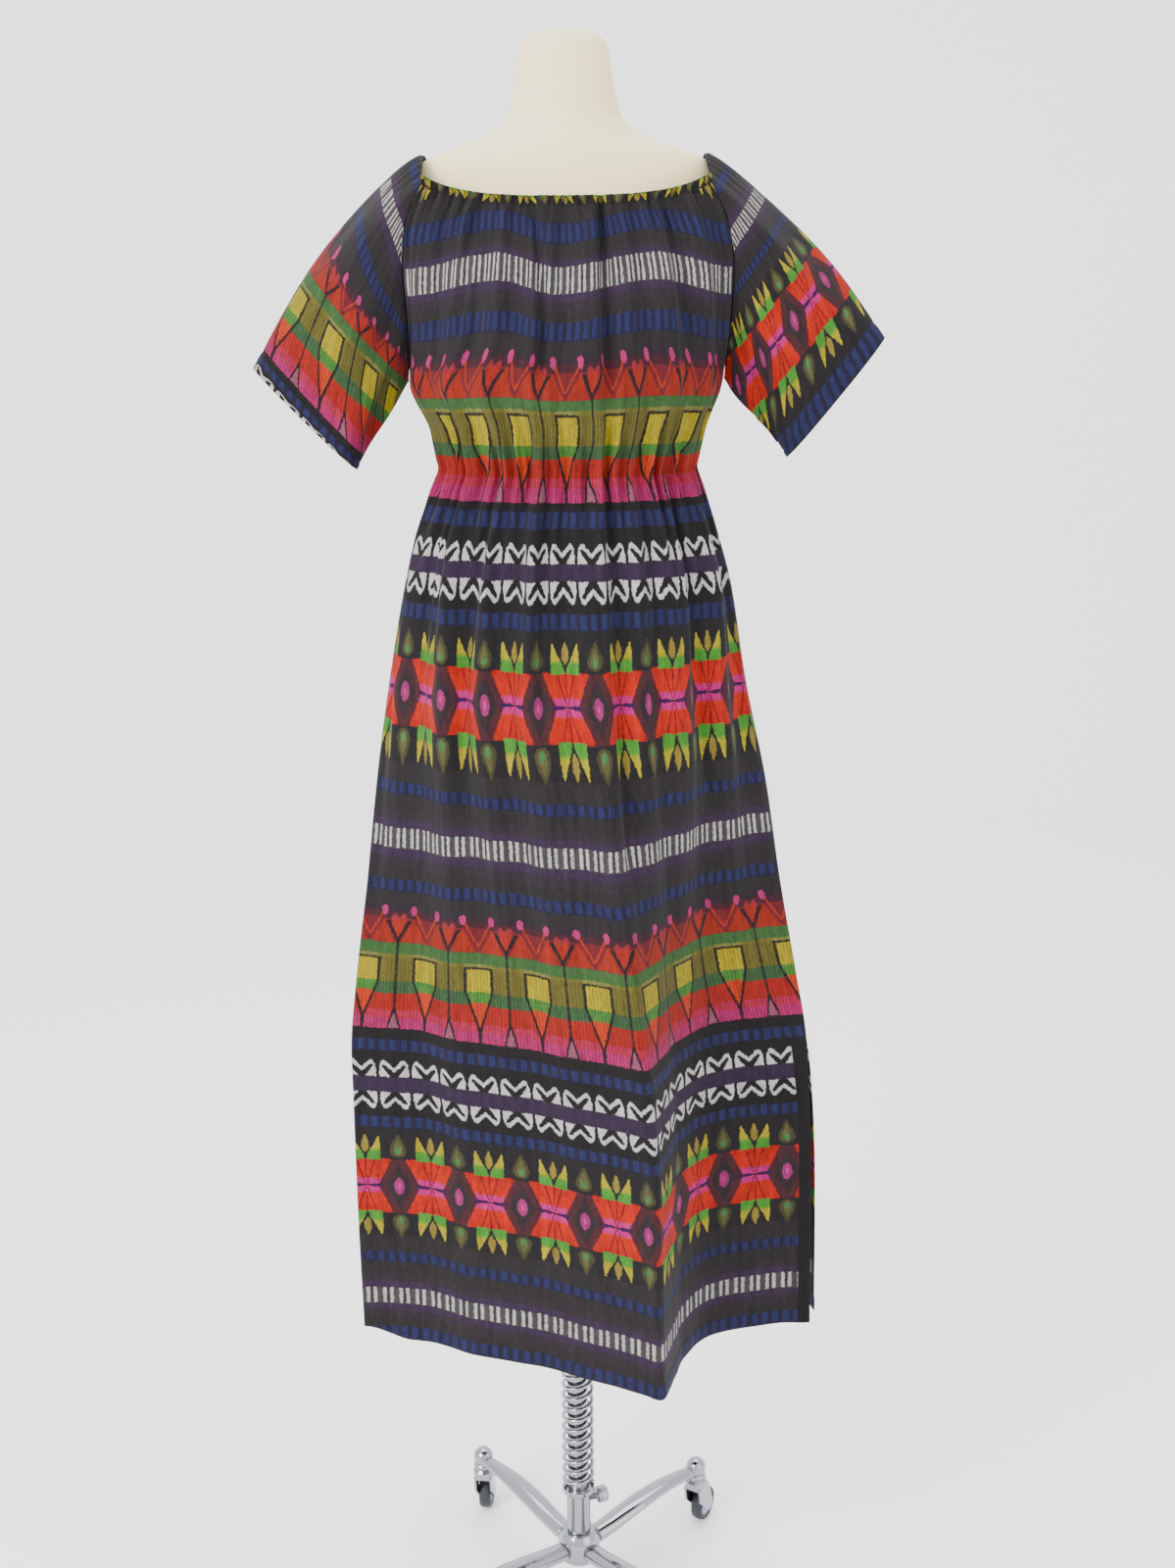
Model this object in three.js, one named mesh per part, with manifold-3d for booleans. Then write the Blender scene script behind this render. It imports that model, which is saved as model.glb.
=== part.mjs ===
// A huipil dress worn by a limbless dress form on a sprung stand with four casters.
// Millimetres, +Z up. The front faces -Y and the origin is on the floor under the pole.
// The dress is a front and a back panel, open at the sides below the knee, with two wide
// sleeves set into slanted seams, elastic casings at the neckline and a gathered waist.
import * as THREE from "three";
import { mergeVertices } from "three/addons/utils/BufferGeometryUtils.js";
import Module from "manifold-3d";

const wasm = await Module();
wasm.setup();

// ---------------------------------------------------------------- driving dimensions
const CLOTH = 1.5; // wall of the handloomed cotton
const SEAM_GAP = 0.4; // between two pieces that are sewn to each other
const SEAT_GAP = 0.3; // between two hard pieces that touch

const HEM_Z = 388;
const WAIST_Z = 1315;
const UNDERARM_Z = 1398;
const NECK_FRONT_Z = 1556; // middle of the front neckline
const NECK_BACK_Z = 1566; // middle of the back neckline
const NECK_CORNER_Z = 1576; // where the neckline meets the sleeves
const SHOULDER_Z = 1607; // highest point of the dress, on the sleeve
const SLIT_LEFT_Z = 768; // top of the left side slit
const SLIT_RIGHT_Z = 716; // top of the right side slit
const SLIT_OPENING = 9; // how far a slit's edges stand apart at the hem

const PANEL_WAVES = 13; // gathers across each panel at the waist
const POINTS_PER_WAVE = 4;
const CASING_WAVES = 18; // frill waves across each neckline casing
const CASING_HEIGHT = 9;
const CASING_FOOT_WAVE = 1.1;
const CASING_TIP_WAVE = 1.8;

const FORM_BOTTOM_Z = 860;

// ---------------------------------------------------------------- the dress's sections
// Where the two panels' edges run, from the neckline down: left and right are distances from
// the pole's axis, and the y columns say where the front's and the back's edges lie. They are
// the slanted sleeve seams down to the underarm, and the side seams below it.
const EDGES = { z: 0, left: 1, right: 2, front_left: 3, front_right: 4, back_left: 5, back_right: 6 };
const EDGE_SECTIONS = [
  // z, left, right, front_left, front_right, back_left, back_right
  [1600, 118, 122, -76, -76, 62, 62],
  [1576, 131, 135, -76, -76, 62, 62],
  [1540, 147, 151, -72, -72, 56, 56],
  [1500, 151, 157, -63, -63, 44, 44],
  [1450, 150, 156, -45, -45, 22, 22],
  [1398, 153, 152, -14, -14, -14, -14],
  [1350, 131, 135, -12, -12, -12, -12],
  [1315, 124.5, 128.5, -10, -10, -10, -10],
  [1290, 133, 135, -10, -10, -10, -10],
  [1250, 148, 147, -13, -13, -13, -13],
  [1200, 161, 161, -17, -16, -17, -16],
  [1100, 181, 178, -28, -24, -28, -24],
  [1000, 197, 199, -46, -34, -46, -34],
  [900, 209, 214, -58, -41, -58, -41],
  [800, 223, 232, -65, -45, -65, -45],
  [716, 231, 246, -69, -46, -68, -46],
  [560, 231, 254, -71, -47, -64, -40],
  [388, 229, 256, -72, -47, -56, -32],
];
// Each panel's middle: how far out it lies, and half the depth of its gathers.
const MIDDLE = { z: 0, y: 1, gather: 2 };
const FRONT_MIDDLES = [
  // z, y, gather
  [1600, -84, 1.4],
  [1576, -90, 2.0],
  [1540, -101, 3.2],
  [1500, -115, 2.6],
  [1450, -127, 2.0],
  [1398, -121, 2.2],
  [1350, -106, 3.6],
  [1315, -97, 4.2],
  [1290, -103, 4.8],
  [1250, -116, 4.6],
  [1200, -130, 4.2],
  [1100, -150, 3.2],
  [1000, -170, 1.8],
  [900, -182, 0.9],
  [800, -187, 0.4],
  [560, -192, 0],
  [388, -194, 0],
];
const BACK_MIDDLES = [
  // z, y, gather
  [1600, 74, 1.4],
  [1576, 79, 2.0],
  [1540, 89, 3.2],
  [1500, 97, 2.6],
  [1450, 100, 2.0],
  [1398, 98, 2.2],
  [1350, 90, 3.6],
  [1315, 86, 4.2],
  [1290, 94, 4.8],
  [1250, 108, 4.6],
  [1200, 121, 4.2],
  [1100, 128, 3.2],
  [1000, 124, 1.8],
  [900, 117, 0.9],
  [800, 110, 0.4],
  [560, 98, 0],
  [388, 90, 0],
];
// How a panel bows between its edges: half the angle of its bow, and how far it has left that
// round shape for the folds that the skirt hangs in.
const BOW = { z: 0, half_angle: 1, fold_share: 2 };
const BOWS = [
  // z, half angle in degrees, fold share
  [1576, 58, 0],
  [1450, 62, 0],
  [1398, 82, 0],
  [1350, 84, 0],
  [1250, 84, 0],
  [1160, 84, 0.1],
  [1060, 84, 0.3],
  [960, 84, 0.55],
  [800, 84, 0.86],
  [640, 84, 1],
];
// The hanging folds in plan: across as a share of the half width, depth as a share of the way
// from the edges to the middle. The front has one sharp fold right of its centre; the back
// hangs in three soft ones.
const FRONT_FOLDS = [
  // across, depth
  [-1.0, 0.0],
  [-0.72, 0.13],
  [-0.5, 0.36],
  [-0.24, 0.53],
  [0.0, 0.75],
  [0.2, 0.93],
  [0.29, 1.0],
  [0.345, 0.72],
  [0.4, 0.45],
  [0.5, 0.2],
  [0.7, 0.07],
  [1.0, 0.0],
];
const BACK_FOLDS = [
  // across, depth
  [-1.0, 0.0],
  [-0.95, 0.3],
  [-0.8, 0.66],
  [-0.62, 0.86],
  [-0.42, 0.86],
  [-0.2, 0.93],
  [0.02, 1.0],
  [0.24, 0.93],
  [0.44, 0.86],
  [0.64, 0.87],
  [0.82, 0.66],
  [0.95, 0.3],
  [1.0, 0.0],
];
const FOLD_START_Z = 960; // the front's sharp fold drifts right from here to the hem
const FOLD_DRIFT = 0.025;
const BACK_OVERHANG = 8; // how far the back panel's right edge stands past the front's

// ---------------------------------------------------------------- the sleeves
// A sleeve is a flat tube from its slanted seams to its cuff. across and up place the cuff's
// two corners, and swell is how far the shoulder line stands off a straight one.
const SLEEVES = {
  left: { side: -1, cuff_top: [304, 1412], cuff_low: [208, 1314], swell: 19 },
  right: { side: 1, cuff_top: [308, 1436], cuff_low: [216, 1323], swell: 14 },
};
const CUFF_HALF_DEPTH = 21; // half of the cuff's opening, front to back
const CUFF_Y = -14;
const SHOULDER_Y = -4;
const SHOULDER_X = 133;
const SLEEVE_POINTS = 24;
const SLEEVE_ROWS = 7;

// ---------------------------------------------------------------- the dress form
const FORM_COLUMNS = { z: 0, half: 1, front: 2, back: 3 };
const FORM_SECTIONS = [
  // z, half width, front, back
  [1717, 22, 14, 32],
  [1713, 33, 24, 42],
  [1704, 41, 33, 50],
  [1665, 48, 40, 56],
  [1642, 54, 45, 58],
  [1627, 70, 51, 60],
  [1617, 93, 56, 62],
  [1608, 119, 60, 63],
  [1598, 140, 63, 64],
  [1580, 152, 68, 66],
  [1540, 152, 80, 76],
  [1500, 146, 97, 83],
  [1460, 141, 110, 86],
  [1410, 134, 106, 84],
  [1360, 118, 90, 76],
  [1315, 108, 80, 69],
  [1250, 132, 94, 94],
  [1170, 150, 104, 112],
  [1090, 157, 106, 114],
  [980, 150, 100, 102],
  [860, 138, 90, 86],
];
const FORM_POINTS = 26;

// ---------------------------------------------------------------- the stand
const WHEEL_RADIUS = 21;
const WHEEL_WIDTH = 15;
const WHEEL_SIDES = 20;
const CASTER_TRAIL = 20; // from the swivel's axis back to the axle
const LEG_REACH = 187; // from the pole to a caster's swivel axis
const LEG_TURN = -5.3; // degrees that the cross of legs is turned on the floor
const LEG_SOCKET_Z = 70; // underside of a leg's caster socket
const LEG_KNOB_Z = 96; // top of the knob over it
const LEG_FULLNESS = 1.08; // lets an eight-sided section fill out its round one
const HUB_BOTTOM_Z = 52;
const HUB_TOP_Z = 88;
const HUB_RADIUS = 24;
const SLEEVE_TUBE_RADIUS = 13.6; // the lower tube that shows under the spring
const SLEEVE_TUBE_TOP_Z = 140;
const COLLAR_RADIUS = 18.5;
const COLLAR_TOP_Z = 147;
const TUBE_RADIUS = 11.8;
const TUBE_BORE = 10.3;
const TUBE_TOP_Z = 396;
const POLE_RADIUS = 9.8;
const POLE_BOTTOM_Z = 190;
const STOP_Z = 510; // underside of the collar on the pole that the spring pushes on
const STOP_HEIGHT = 10;
const SPRING_RADIUS = 16.4; // to the middle of its wire
const SPRING_WIRE = 2.2;
const SPRING_TURNS = 26;
const SPRING_STEPS = 6; // per turn
const PLATE_RADIUS = 60;
const PLATE_HEIGHT = 8;
const FLANGE_RADIUS = 38;
const FLANGE_HEIGHT = 5;
const ROUND = 24; // sides of a turned piece
const CLAMP_Z = 126;
const CLAMP_AZIMUTH = 24; // degrees back from +X

// ---------------------------------------------------------------- materials
const cotton = new THREE.MeshStandardMaterial({ color: 0x2a2630, roughness: 0.92, metalness: 0 });
const linen = new THREE.MeshStandardMaterial({ color: 0xe6dfcb, roughness: 0.88, metalness: 0 });
const chrome = new THREE.MeshStandardMaterial({ color: 0xc9c6c6, roughness: 0.16, metalness: 1 });
const rubber = new THREE.MeshStandardMaterial({ color: 0x23252c, roughness: 0.6, metalness: 0 });

const dress_on_form = new THREE.Group();
const degrees = THREE.MathUtils.degToRad;

function addMesh(name, geometry, material) {
  const mesh = new THREE.Mesh(geometry, material);
  mesh.name = name;
  dress_on_form.add(mesh);
  return mesh;
}

// ---------------------------------------------------------------- tables and curves
// A table's column at z, by a cubic through its rows that never overshoots them. The rows run
// down from the highest z.
function valueAt(table, z, column) {
  const last = table.length - 1;
  if (z >= table[0][0]) return table[0][column];
  if (z <= table[last][0]) return table[last][column];
  let i = 0;
  while (z < table[i + 1][0]) i += 1;
  const secant = (k) => (table[k + 1][column] - table[k][column]) / (table[k][0] - table[k + 1][0]);
  const slope = (k) => {
    if (k === 0) return secant(0);
    if (k === last) return secant(last - 1);
    const above = secant(k - 1);
    const below = secant(k);
    return above * below > 0 ? (2 * above * below) / (above + below) : 0;
  };
  const step = table[i][0] - table[i + 1][0];
  const t = (table[i][0] - z) / step;
  const t2 = t * t;
  const t3 = t2 * t;
  return (
    (2 * t3 - 3 * t2 + 1) * table[i][column] +
    (t3 - 2 * t2 + t) * step * slope(i) +
    (3 * t2 - 2 * t3) * table[i + 1][column] +
    (t3 - t2) * step * slope(i + 1)
  );
}

// Points at even steps of length along a line of points, flat or in space.
function evenPoints(points, count) {
  const lengths = [0];
  for (let i = 1; i < points.length; i += 1) {
    lengths.push(lengths[i - 1] + points[i].distanceTo(points[i - 1]));
  }
  const whole = lengths[points.length - 1];
  const even = [];
  let i = 0;
  for (let k = 0; k < count; k += 1) {
    const target = (whole * k) / (count - 1);
    while (i < points.length - 2 && lengths[i + 1] < target) i += 1;
    const share = (target - lengths[i]) / (lengths[i + 1] - lengths[i]);
    even.push(points[i].clone().lerp(points[i + 1], share));
  }
  return even;
}

const DENSE = 160;
const foldCurve = (table) => new THREE.SplineCurve(table.map(([x, y]) => new THREE.Vector2(x, y)));
const FRONT = {
  out: -1,
  middles: FRONT_MIDDLES,
  folds: foldCurve(FRONT_FOLDS).getPoints(DENSE),
  edgeY: [EDGES.front_left, EDGES.front_right],
  drift: FOLD_DRIFT,
  overhang: 0,
  neckZ: NECK_FRONT_Z,
};
const BACK = {
  out: 1,
  middles: BACK_MIDDLES,
  folds: foldCurve(BACK_FOLDS).getPoints(DENSE),
  edgeY: [EDGES.back_left, EDGES.back_right],
  drift: 0,
  overhang: BACK_OVERHANG,
  neckZ: NECK_BACK_Z,
};

// How far down a side slit a height lies: 0 at its top and above, 1 at the hem.
const slitShare = (top, z) => THREE.MathUtils.clamp((top - z) / (top - HEM_Z), 0, 1);

// One level line of a panel in plan, without its gathers, from its left to its right edge.
function planLine(panel, z, count) {
  const left = -valueAt(EDGE_SECTIONS, z, EDGES.left);
  const overhang = panel.overhang * slitShare(SLIT_RIGHT_Z, z) ** 0.5;
  const right = valueAt(EDGE_SECTIONS, z, EDGES.right) + overhang;
  const [leftY, rightY] = panel.edgeY.map((column) => valueAt(EDGE_SECTIONS, z, column));
  const middleY = valueAt(panel.middles, z, MIDDLE.y);
  const half = degrees(valueAt(BOWS, z, BOW.half_angle));
  const share = valueAt(BOWS, z, BOW.fold_share);
  const drift = panel.drift * THREE.MathUtils.clamp((FOLD_START_Z - z) / (FOLD_START_Z - HEM_Z), 0, 1);
  const dense = panel.folds.map((fold, k) => {
    const angle = (-1 + (2 * k) / DENSE) * half;
    const bowAcross = Math.sin(angle) / Math.sin(half);
    const bowDepth = (Math.cos(angle) - Math.cos(half)) / (1 - Math.cos(half));
    const foldAcross = fold.x + drift * (1 - fold.x ** 2);
    const across = THREE.MathUtils.lerp(bowAcross, foldAcross, share);
    const depth = THREE.MathUtils.lerp(bowDepth, fold.y, share);
    const edge = (across + 1) / 2;
    const x = THREE.MathUtils.lerp(left, right, edge);
    const baseY = THREE.MathUtils.lerp(leftY, rightY, edge);
    return new THREE.Vector2(x, baseY + depth * (middleY - baseY));
  });
  return evenPoints(dense, count);
}

// The height of a panel's row at a share u across: level, but curved up to the neckline's corners.
function rowHeight(panel, row, u) {
  const across = Math.abs(2 * u - 1);
  const neckline = panel.neckZ + (NECK_CORNER_Z - panel.neckZ) * across ** 3;
  const fade = THREE.MathUtils.clamp((row - UNDERARM_Z) / (NECK_CORNER_Z - UNDERARM_Z), 0, 1);
  return row + (neckline - NECK_CORNER_Z) * fade;
}

// How uneven the gathers are: each differs a little from its neighbours.
function unevenness(wave) {
  return 1 + 0.3 * Math.sin(2.4 * wave + 0.7) + 0.16 * Math.sin(5.1 * wave);
}

// The direction in plan that a panel's outer side faces at a point of its plan line.
function planNormal(panel, line, k) {
  const along = line[Math.min(k + 1, line.length - 1)].clone().sub(line[Math.max(k - 1, 0)]).normalize();
  return new THREE.Vector2(along.y, -along.x).multiplyScalar(-panel.out);
}

// Half way between the directions that the two panels face where they meet at a side seam, so
// that both walls end on the same slanted joint.
function seamNormal(z, count, k) {
  const [front, back] = [FRONT, BACK].map((panel) => planNormal(panel, planLine(panel, z, count), k));
  return front.add(back).normalize();
}

// The outer and inner points over point k of a plan line, moved out by lift. joint is the
// direction of a slanted end.
function wallPoints(panel, line, k, lift, z, joint = null) {
  const normal = planNormal(panel, line, k);
  const outer = line[k].clone().addScaledVector(normal, lift);
  const inwards = joint ?? normal;
  const inner = outer.clone().addScaledVector(inwards, -CLOTH / inwards.dot(normal));
  return [outer, inner].map((point) => new THREE.Vector3(point.x, point.y, z));
}

// How a gather wave fades out over the last points before each edge.
const edgeFade = (k, count) => Math.min(1, k / 3, (count - 1 - k) / 3);

// The grids of outer and inner points of a panel, row by row from the neckline to the hem.
function panelGrids(panel, rows, waves) {
  const count = waves * POINTS_PER_WAVE + 1;
  const outer = [];
  const inner = [];
  for (const row of rows) {
    const levelLine = row <= UNDERARM_Z ? planLine(panel, row, count) : null;
    const pairs = [];
    for (let k = 0; k < count; k += 1) {
      const z = rowHeight(panel, row, k / (count - 1));
      const line = levelLine ?? planLine(panel, z, count);
      const wave = k / POINTS_PER_WAVE;
      const depth = valueAt(panel.middles, z, MIDDLE.gather) * unevenness(wave);
      const lift = depth * Math.cos(2 * Math.PI * wave) * edgeFade(k, count);
      const atSeam = levelLine && (k === 0 || k === count - 1);
      pairs.push(wallPoints(panel, line, k, lift, z, atSeam ? seamNormal(z, count, k) : null));
    }
    outer.push(pairs.map((pair) => pair[0]));
    inner.push(pairs.map((pair) => pair[1]));
  }
  return { outer, inner };
}

// A closed wall between two grids of points. around joins each row's ends to make a tube.
function wallGeometry({ outer, inner }, around) {
  const rows = outer.length;
  const columns = outer[0].length;
  const positions = [];
  const triangle = (a, b, c) => positions.push(...a.toArray(), ...b.toArray(), ...c.toArray());
  const quad = (a, b, c, d) => {
    triangle(a, b, c);
    triangle(a, c, d);
  };
  const steps = around ? columns : columns - 1;
  for (let i = 0; i < rows - 1; i += 1) {
    for (let k = 0; k < steps; k += 1) {
      const n = (k + 1) % columns;
      quad(outer[i][k], outer[i + 1][k], outer[i + 1][n], outer[i][n]);
      quad(inner[i][k], inner[i][n], inner[i + 1][n], inner[i + 1][k]);
    }
  }
  for (let k = 0; k < steps; k += 1) {
    const n = (k + 1) % columns;
    quad(outer[0][k], outer[0][n], inner[0][n], inner[0][k]);
    quad(outer[rows - 1][n], outer[rows - 1][k], inner[rows - 1][k], inner[rows - 1][n]);
  }
  if (!around) {
    for (let i = 0; i < rows - 1; i += 1) {
      const last = columns - 1;
      quad(outer[i][0], inner[i][0], inner[i + 1][0], outer[i + 1][0]);
      quad(outer[i][last], outer[i + 1][last], inner[i + 1][last], inner[i][last]);
    }
  }
  return facingOut(positions);
}

// A geometry from loose triangles, turned so that its faces point out.
function facingOut(positions) {
  const corner = (i) => new THREE.Vector3().fromArray(positions, i);
  let volume = 0;
  for (let i = 0; i < positions.length; i += 9) {
    volume += corner(i).dot(corner(i + 3).cross(corner(i + 6)));
  }
  if (volume < 0) {
    for (let i = 0; i < positions.length; i += 9) {
      for (let j = 0; j < 3; j += 1) {
        [positions[i + 3 + j], positions[i + 6 + j]] = [positions[i + 6 + j], positions[i + 3 + j]];
      }
    }
  }
  const geometry = new THREE.BufferGeometry();
  geometry.setAttribute("position", new THREE.Float32BufferAttribute(positions, 3));
  geometry.computeVertexNormals();
  return geometry;
}

// ---------------------------------------------------------------- the two panels
const PANEL_ROWS = [
  NECK_CORNER_Z, 1558, 1530, 1490, 1445, UNDERARM_Z, 1368, 1342, WAIST_Z + 8, WAIST_Z - 8,
  1284, 1248, 1195, 1120, 1030, 930, SLIT_LEFT_Z, 620, HEM_Z,
];
// The panels stand a seam's gap apart at their edges, and further apart down the slits.
function partSides(grids, panel) {
  for (const row of [...grids.outer, ...grids.inner]) {
    row[0].y += panel.out * (SEAM_GAP / 2 + (SLIT_OPENING / 2) * slitShare(SLIT_LEFT_Z, row[0].z));
    const last = row[row.length - 1];
    last.y += panel.out * (SEAM_GAP / 2 + (SLIT_OPENING / 2) * slitShare(SLIT_RIGHT_Z, last.z));
  }
  return grids;
}
for (const [name, panel] of [["front_panel", FRONT], ["back_panel", BACK]]) {
  const grids = partSides(panelGrids(panel, PANEL_ROWS, PANEL_WAVES), panel);
  addMesh(name, wallGeometry(grids, false), cotton);
}

// ---------------------------------------------------------------- neckline casings
// Each casing stands on its panel's top edge as a narrow frill, gathered finer than the panel.
function casingGrids(panel) {
  const count = CASING_WAVES * POINTS_PER_WAVE + 1;
  const outer = [];
  const inner = [];
  for (const step of [0, 1]) {
    const pairs = [];
    for (let k = 0; k < count; k += 1) {
      const base = rowHeight(panel, NECK_CORNER_Z, k / (count - 1));
      const wave = k / POINTS_PER_WAVE;
      const depth = (step === 0 ? CASING_FOOT_WAVE : CASING_TIP_WAVE) * unevenness(wave);
      const lift = depth * Math.cos(2 * Math.PI * wave) * edgeFade(k, count);
      const z = base + SEAM_GAP + CASING_HEIGHT * step;
      pairs.push(wallPoints(panel, planLine(panel, base, count), k, lift, z));
    }
    outer.unshift(pairs.map((pair) => pair[0]));
    inner.unshift(pairs.map((pair) => pair[1]));
  }
  return { outer, inner };
}
addMesh("neck_casing_front", wallGeometry(casingGrids(FRONT), false), cotton);
addMesh("neck_casing_back", wallGeometry(casingGrids(BACK), false), cotton);

// ---------------------------------------------------------------- the sleeves
// The seam loop of one sleeve, from the underarm up the front, over the shoulder and down the
// back. It follows the panels' edges, a seam's gap outside them.
function seamLoop(sleeve) {
  const steps = 10;
  const edgeAt = (panel, z) => {
    const line = planLine(panel, z, 41);
    const end = sleeve.side < 0 ? line[0] : line[40];
    return new THREE.Vector3(end.x + sleeve.side * 2 * SEAM_GAP, end.y, z);
  };
  const front = [];
  const back = [];
  for (let i = 0; i <= steps; i += 1) {
    const z = UNDERARM_Z + 0.6 + ((NECK_CORNER_Z - UNDERARM_Z) * i) / steps;
    front.push(edgeAt(FRONT, z));
    back.push(edgeAt(BACK, z));
  }
  const shoulder = new THREE.Vector3(sleeve.side * SHOULDER_X, SHOULDER_Y, SHOULDER_Z);
  const frontCorner = front[steps];
  const backCorner = back[steps];
  const over = new THREE.CatmullRomCurve3([
    frontCorner,
    new THREE.Vector3(sleeve.side * (SHOULDER_X - 1), -46, SHOULDER_Z - 9),
    shoulder,
    new THREE.Vector3(sleeve.side * (SHOULDER_X - 1), 38, SHOULDER_Z - 9),
    backCorner,
  ]);
  return [...front.slice(0, steps), ...over.getPoints(12), ...back.slice(0, steps).reverse()];
}

// Points of a closed loop at even steps of length, the first point kept.
function evenLoop(points, count) {
  const closed = [...points, points[0]];
  return evenPoints(closed, count + 1).slice(0, count);
}

function sleevePoints(sleeve) {
  const { side, cuff_top: top, cuff_low: low, swell } = sleeve;
  const seam = evenLoop(seamLoop(sleeve), SLEEVE_POINTS);
  const topCorner = new THREE.Vector3(side * top[0], CUFF_Y, top[1]);
  const lowCorner = new THREE.Vector3(side * low[0], CUFF_Y, low[1]);
  const middle = topCorner.clone().add(lowCorner).multiplyScalar(0.5);
  const toTop = topCorner.clone().sub(middle);
  const shoulderUp = new THREE.Vector3(side * 0.75, 0, 0.66);
  const outer = [];
  for (let i = 0; i <= SLEEVE_ROWS; i += 1) {
    const t = i / SLEEVE_ROWS;
    const row = seam.map((start, k) => {
      const angle = (2 * Math.PI * k) / SLEEVE_POINTS;
      const up = -Math.cos(angle);
      const forward = -Math.sin(angle);
      const cuff = middle
        .clone()
        .addScaledVector(toTop, Math.sign(up) * Math.abs(up) ** 0.8)
        .add(new THREE.Vector3(0, forward * CUFF_HALF_DEPTH, 0));
      const round = Math.sin(Math.PI * t ** 0.75);
      return start
        .clone()
        .lerp(cuff, t)
        .addScaledVector(shoulderUp, swell * round * Math.max(up, 0) ** 2)
        .add(new THREE.Vector3(0, forward * 6 * round, 0));
    });
    outer.push(row);
  }
  // The wall goes inwards from the tube, square to its surface.
  const count = SLEEVE_POINTS;
  const inner = outer.map((row, i) =>
    row.map((point, k) => {
      const around = row[(k + 1) % count].clone().sub(row[(k + count - 1) % count]);
      const down = outer[Math.min(i + 1, SLEEVE_ROWS)][k].clone().sub(outer[Math.max(i - 1, 0)][k]);
      const normal = around.cross(down).normalize().multiplyScalar(-side);
      return point.clone().addScaledVector(normal, -CLOTH);
    }),
  );
  return { outer, inner };
}
addMesh("sleeve_left", wallGeometry(sleevePoints(SLEEVES.left), true), cotton);
addMesh("sleeve_right", wallGeometry(sleevePoints(SLEEVES.right), true), cotton);

// ---------------------------------------------------------------- the dress form
// A loft of rounded sections with flat ends.
function formGeometry() {
  const positions = [];
  const rings = FORM_SECTIONS.map((section) => {
    const ring = [];
    for (let k = 0; k < FORM_POINTS; k += 1) {
      const angle = (2 * Math.PI * k) / FORM_POINTS;
      const forward = Math.cos(angle);
      const depth = forward > 0 ? section[FORM_COLUMNS.front] : section[FORM_COLUMNS.back];
      const x = section[FORM_COLUMNS.half] * Math.sin(angle);
      ring.push(new THREE.Vector3(x, -depth * forward, section[FORM_COLUMNS.z]));
    }
    return ring;
  });
  const triangle = (a, b, c) => positions.push(...a.toArray(), ...b.toArray(), ...c.toArray());
  for (let i = 0; i < rings.length - 1; i += 1) {
    for (let k = 0; k < FORM_POINTS; k += 1) {
      const n = (k + 1) % FORM_POINTS;
      triangle(rings[i][k], rings[i + 1][k], rings[i + 1][n]);
      triangle(rings[i][k], rings[i + 1][n], rings[i][n]);
    }
  }
  const last = rings.length - 1;
  for (let k = 1; k < FORM_POINTS - 1; k += 1) {
    triangle(rings[0][0], rings[0][k], rings[0][k + 1]);
    triangle(rings[last][0], rings[last][k + 1], rings[last][k]);
  }
  return facingOut(positions);
}
addMesh("form_body", formGeometry(), linen);

// ---------------------------------------------------------------- turned pieces
// A turned ring or rod about +Z: [radius, z] pairs, with a bore or on the axis.
function turned(profile, sides = ROUND) {
  const points = profile.map(([radius, z]) => new THREE.Vector2(radius, z));
  const closesOnAxis = profile[0][0] === 0;
  if (!closesOnAxis) points.push(points[0].clone());
  const geometry = new THREE.LatheGeometry(points, sides);
  geometry.rotateX(Math.PI / 2);
  return outward(geometry);
}

// The same geometry without the slivers at its poles, turned so that its faces point out.
function outward(geometry) {
  const loose = geometry.index ? geometry.toNonIndexed() : geometry;
  const positions = [...loose.getAttribute("position").array];
  const kept = [];
  for (let i = 0; i < positions.length; i += 9) {
    const [a, b, c] = [0, 3, 6].map((j) => new THREE.Vector3().fromArray(positions, i + j));
    const flat = b.clone().sub(a).cross(c.clone().sub(a)).length() < 1e-6;
    if (!flat) kept.push(...positions.slice(i, i + 9));
  }
  return facingOut(kept);
}

const plateZ = FORM_BOTTOM_Z - SEAT_GAP - PLATE_HEIGHT;
addMesh("form_plate", turned([[0, plateZ], [PLATE_RADIUS, plateZ], [PLATE_RADIUS, plateZ + PLATE_HEIGHT],
  [0, plateZ + PLATE_HEIGHT]]), chrome);

const flangeTop = plateZ - SEAT_GAP;
addMesh("pole", turned([[0, POLE_BOTTOM_Z], [POLE_RADIUS, POLE_BOTTOM_Z],
  [POLE_RADIUS, flangeTop - FLANGE_HEIGHT], [FLANGE_RADIUS, flangeTop - FLANGE_HEIGHT],
  [FLANGE_RADIUS, flangeTop], [0, flangeTop]]), chrome);

const stopBore = POLE_RADIUS + SEAT_GAP;
addMesh("pole_stop", turned([[stopBore, STOP_Z], [COLLAR_RADIUS, STOP_Z],
  [COLLAR_RADIUS, STOP_Z + STOP_HEIGHT], [stopBore, STOP_Z + STOP_HEIGHT]]), chrome);

const tubeBottom = HUB_BOTTOM_Z + 6;
addMesh("base_tube", turned([[TUBE_BORE, tubeBottom], [TUBE_RADIUS, tubeBottom],
  [TUBE_RADIUS, TUBE_TOP_Z], [TUBE_BORE, TUBE_TOP_Z]]), chrome);

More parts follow.
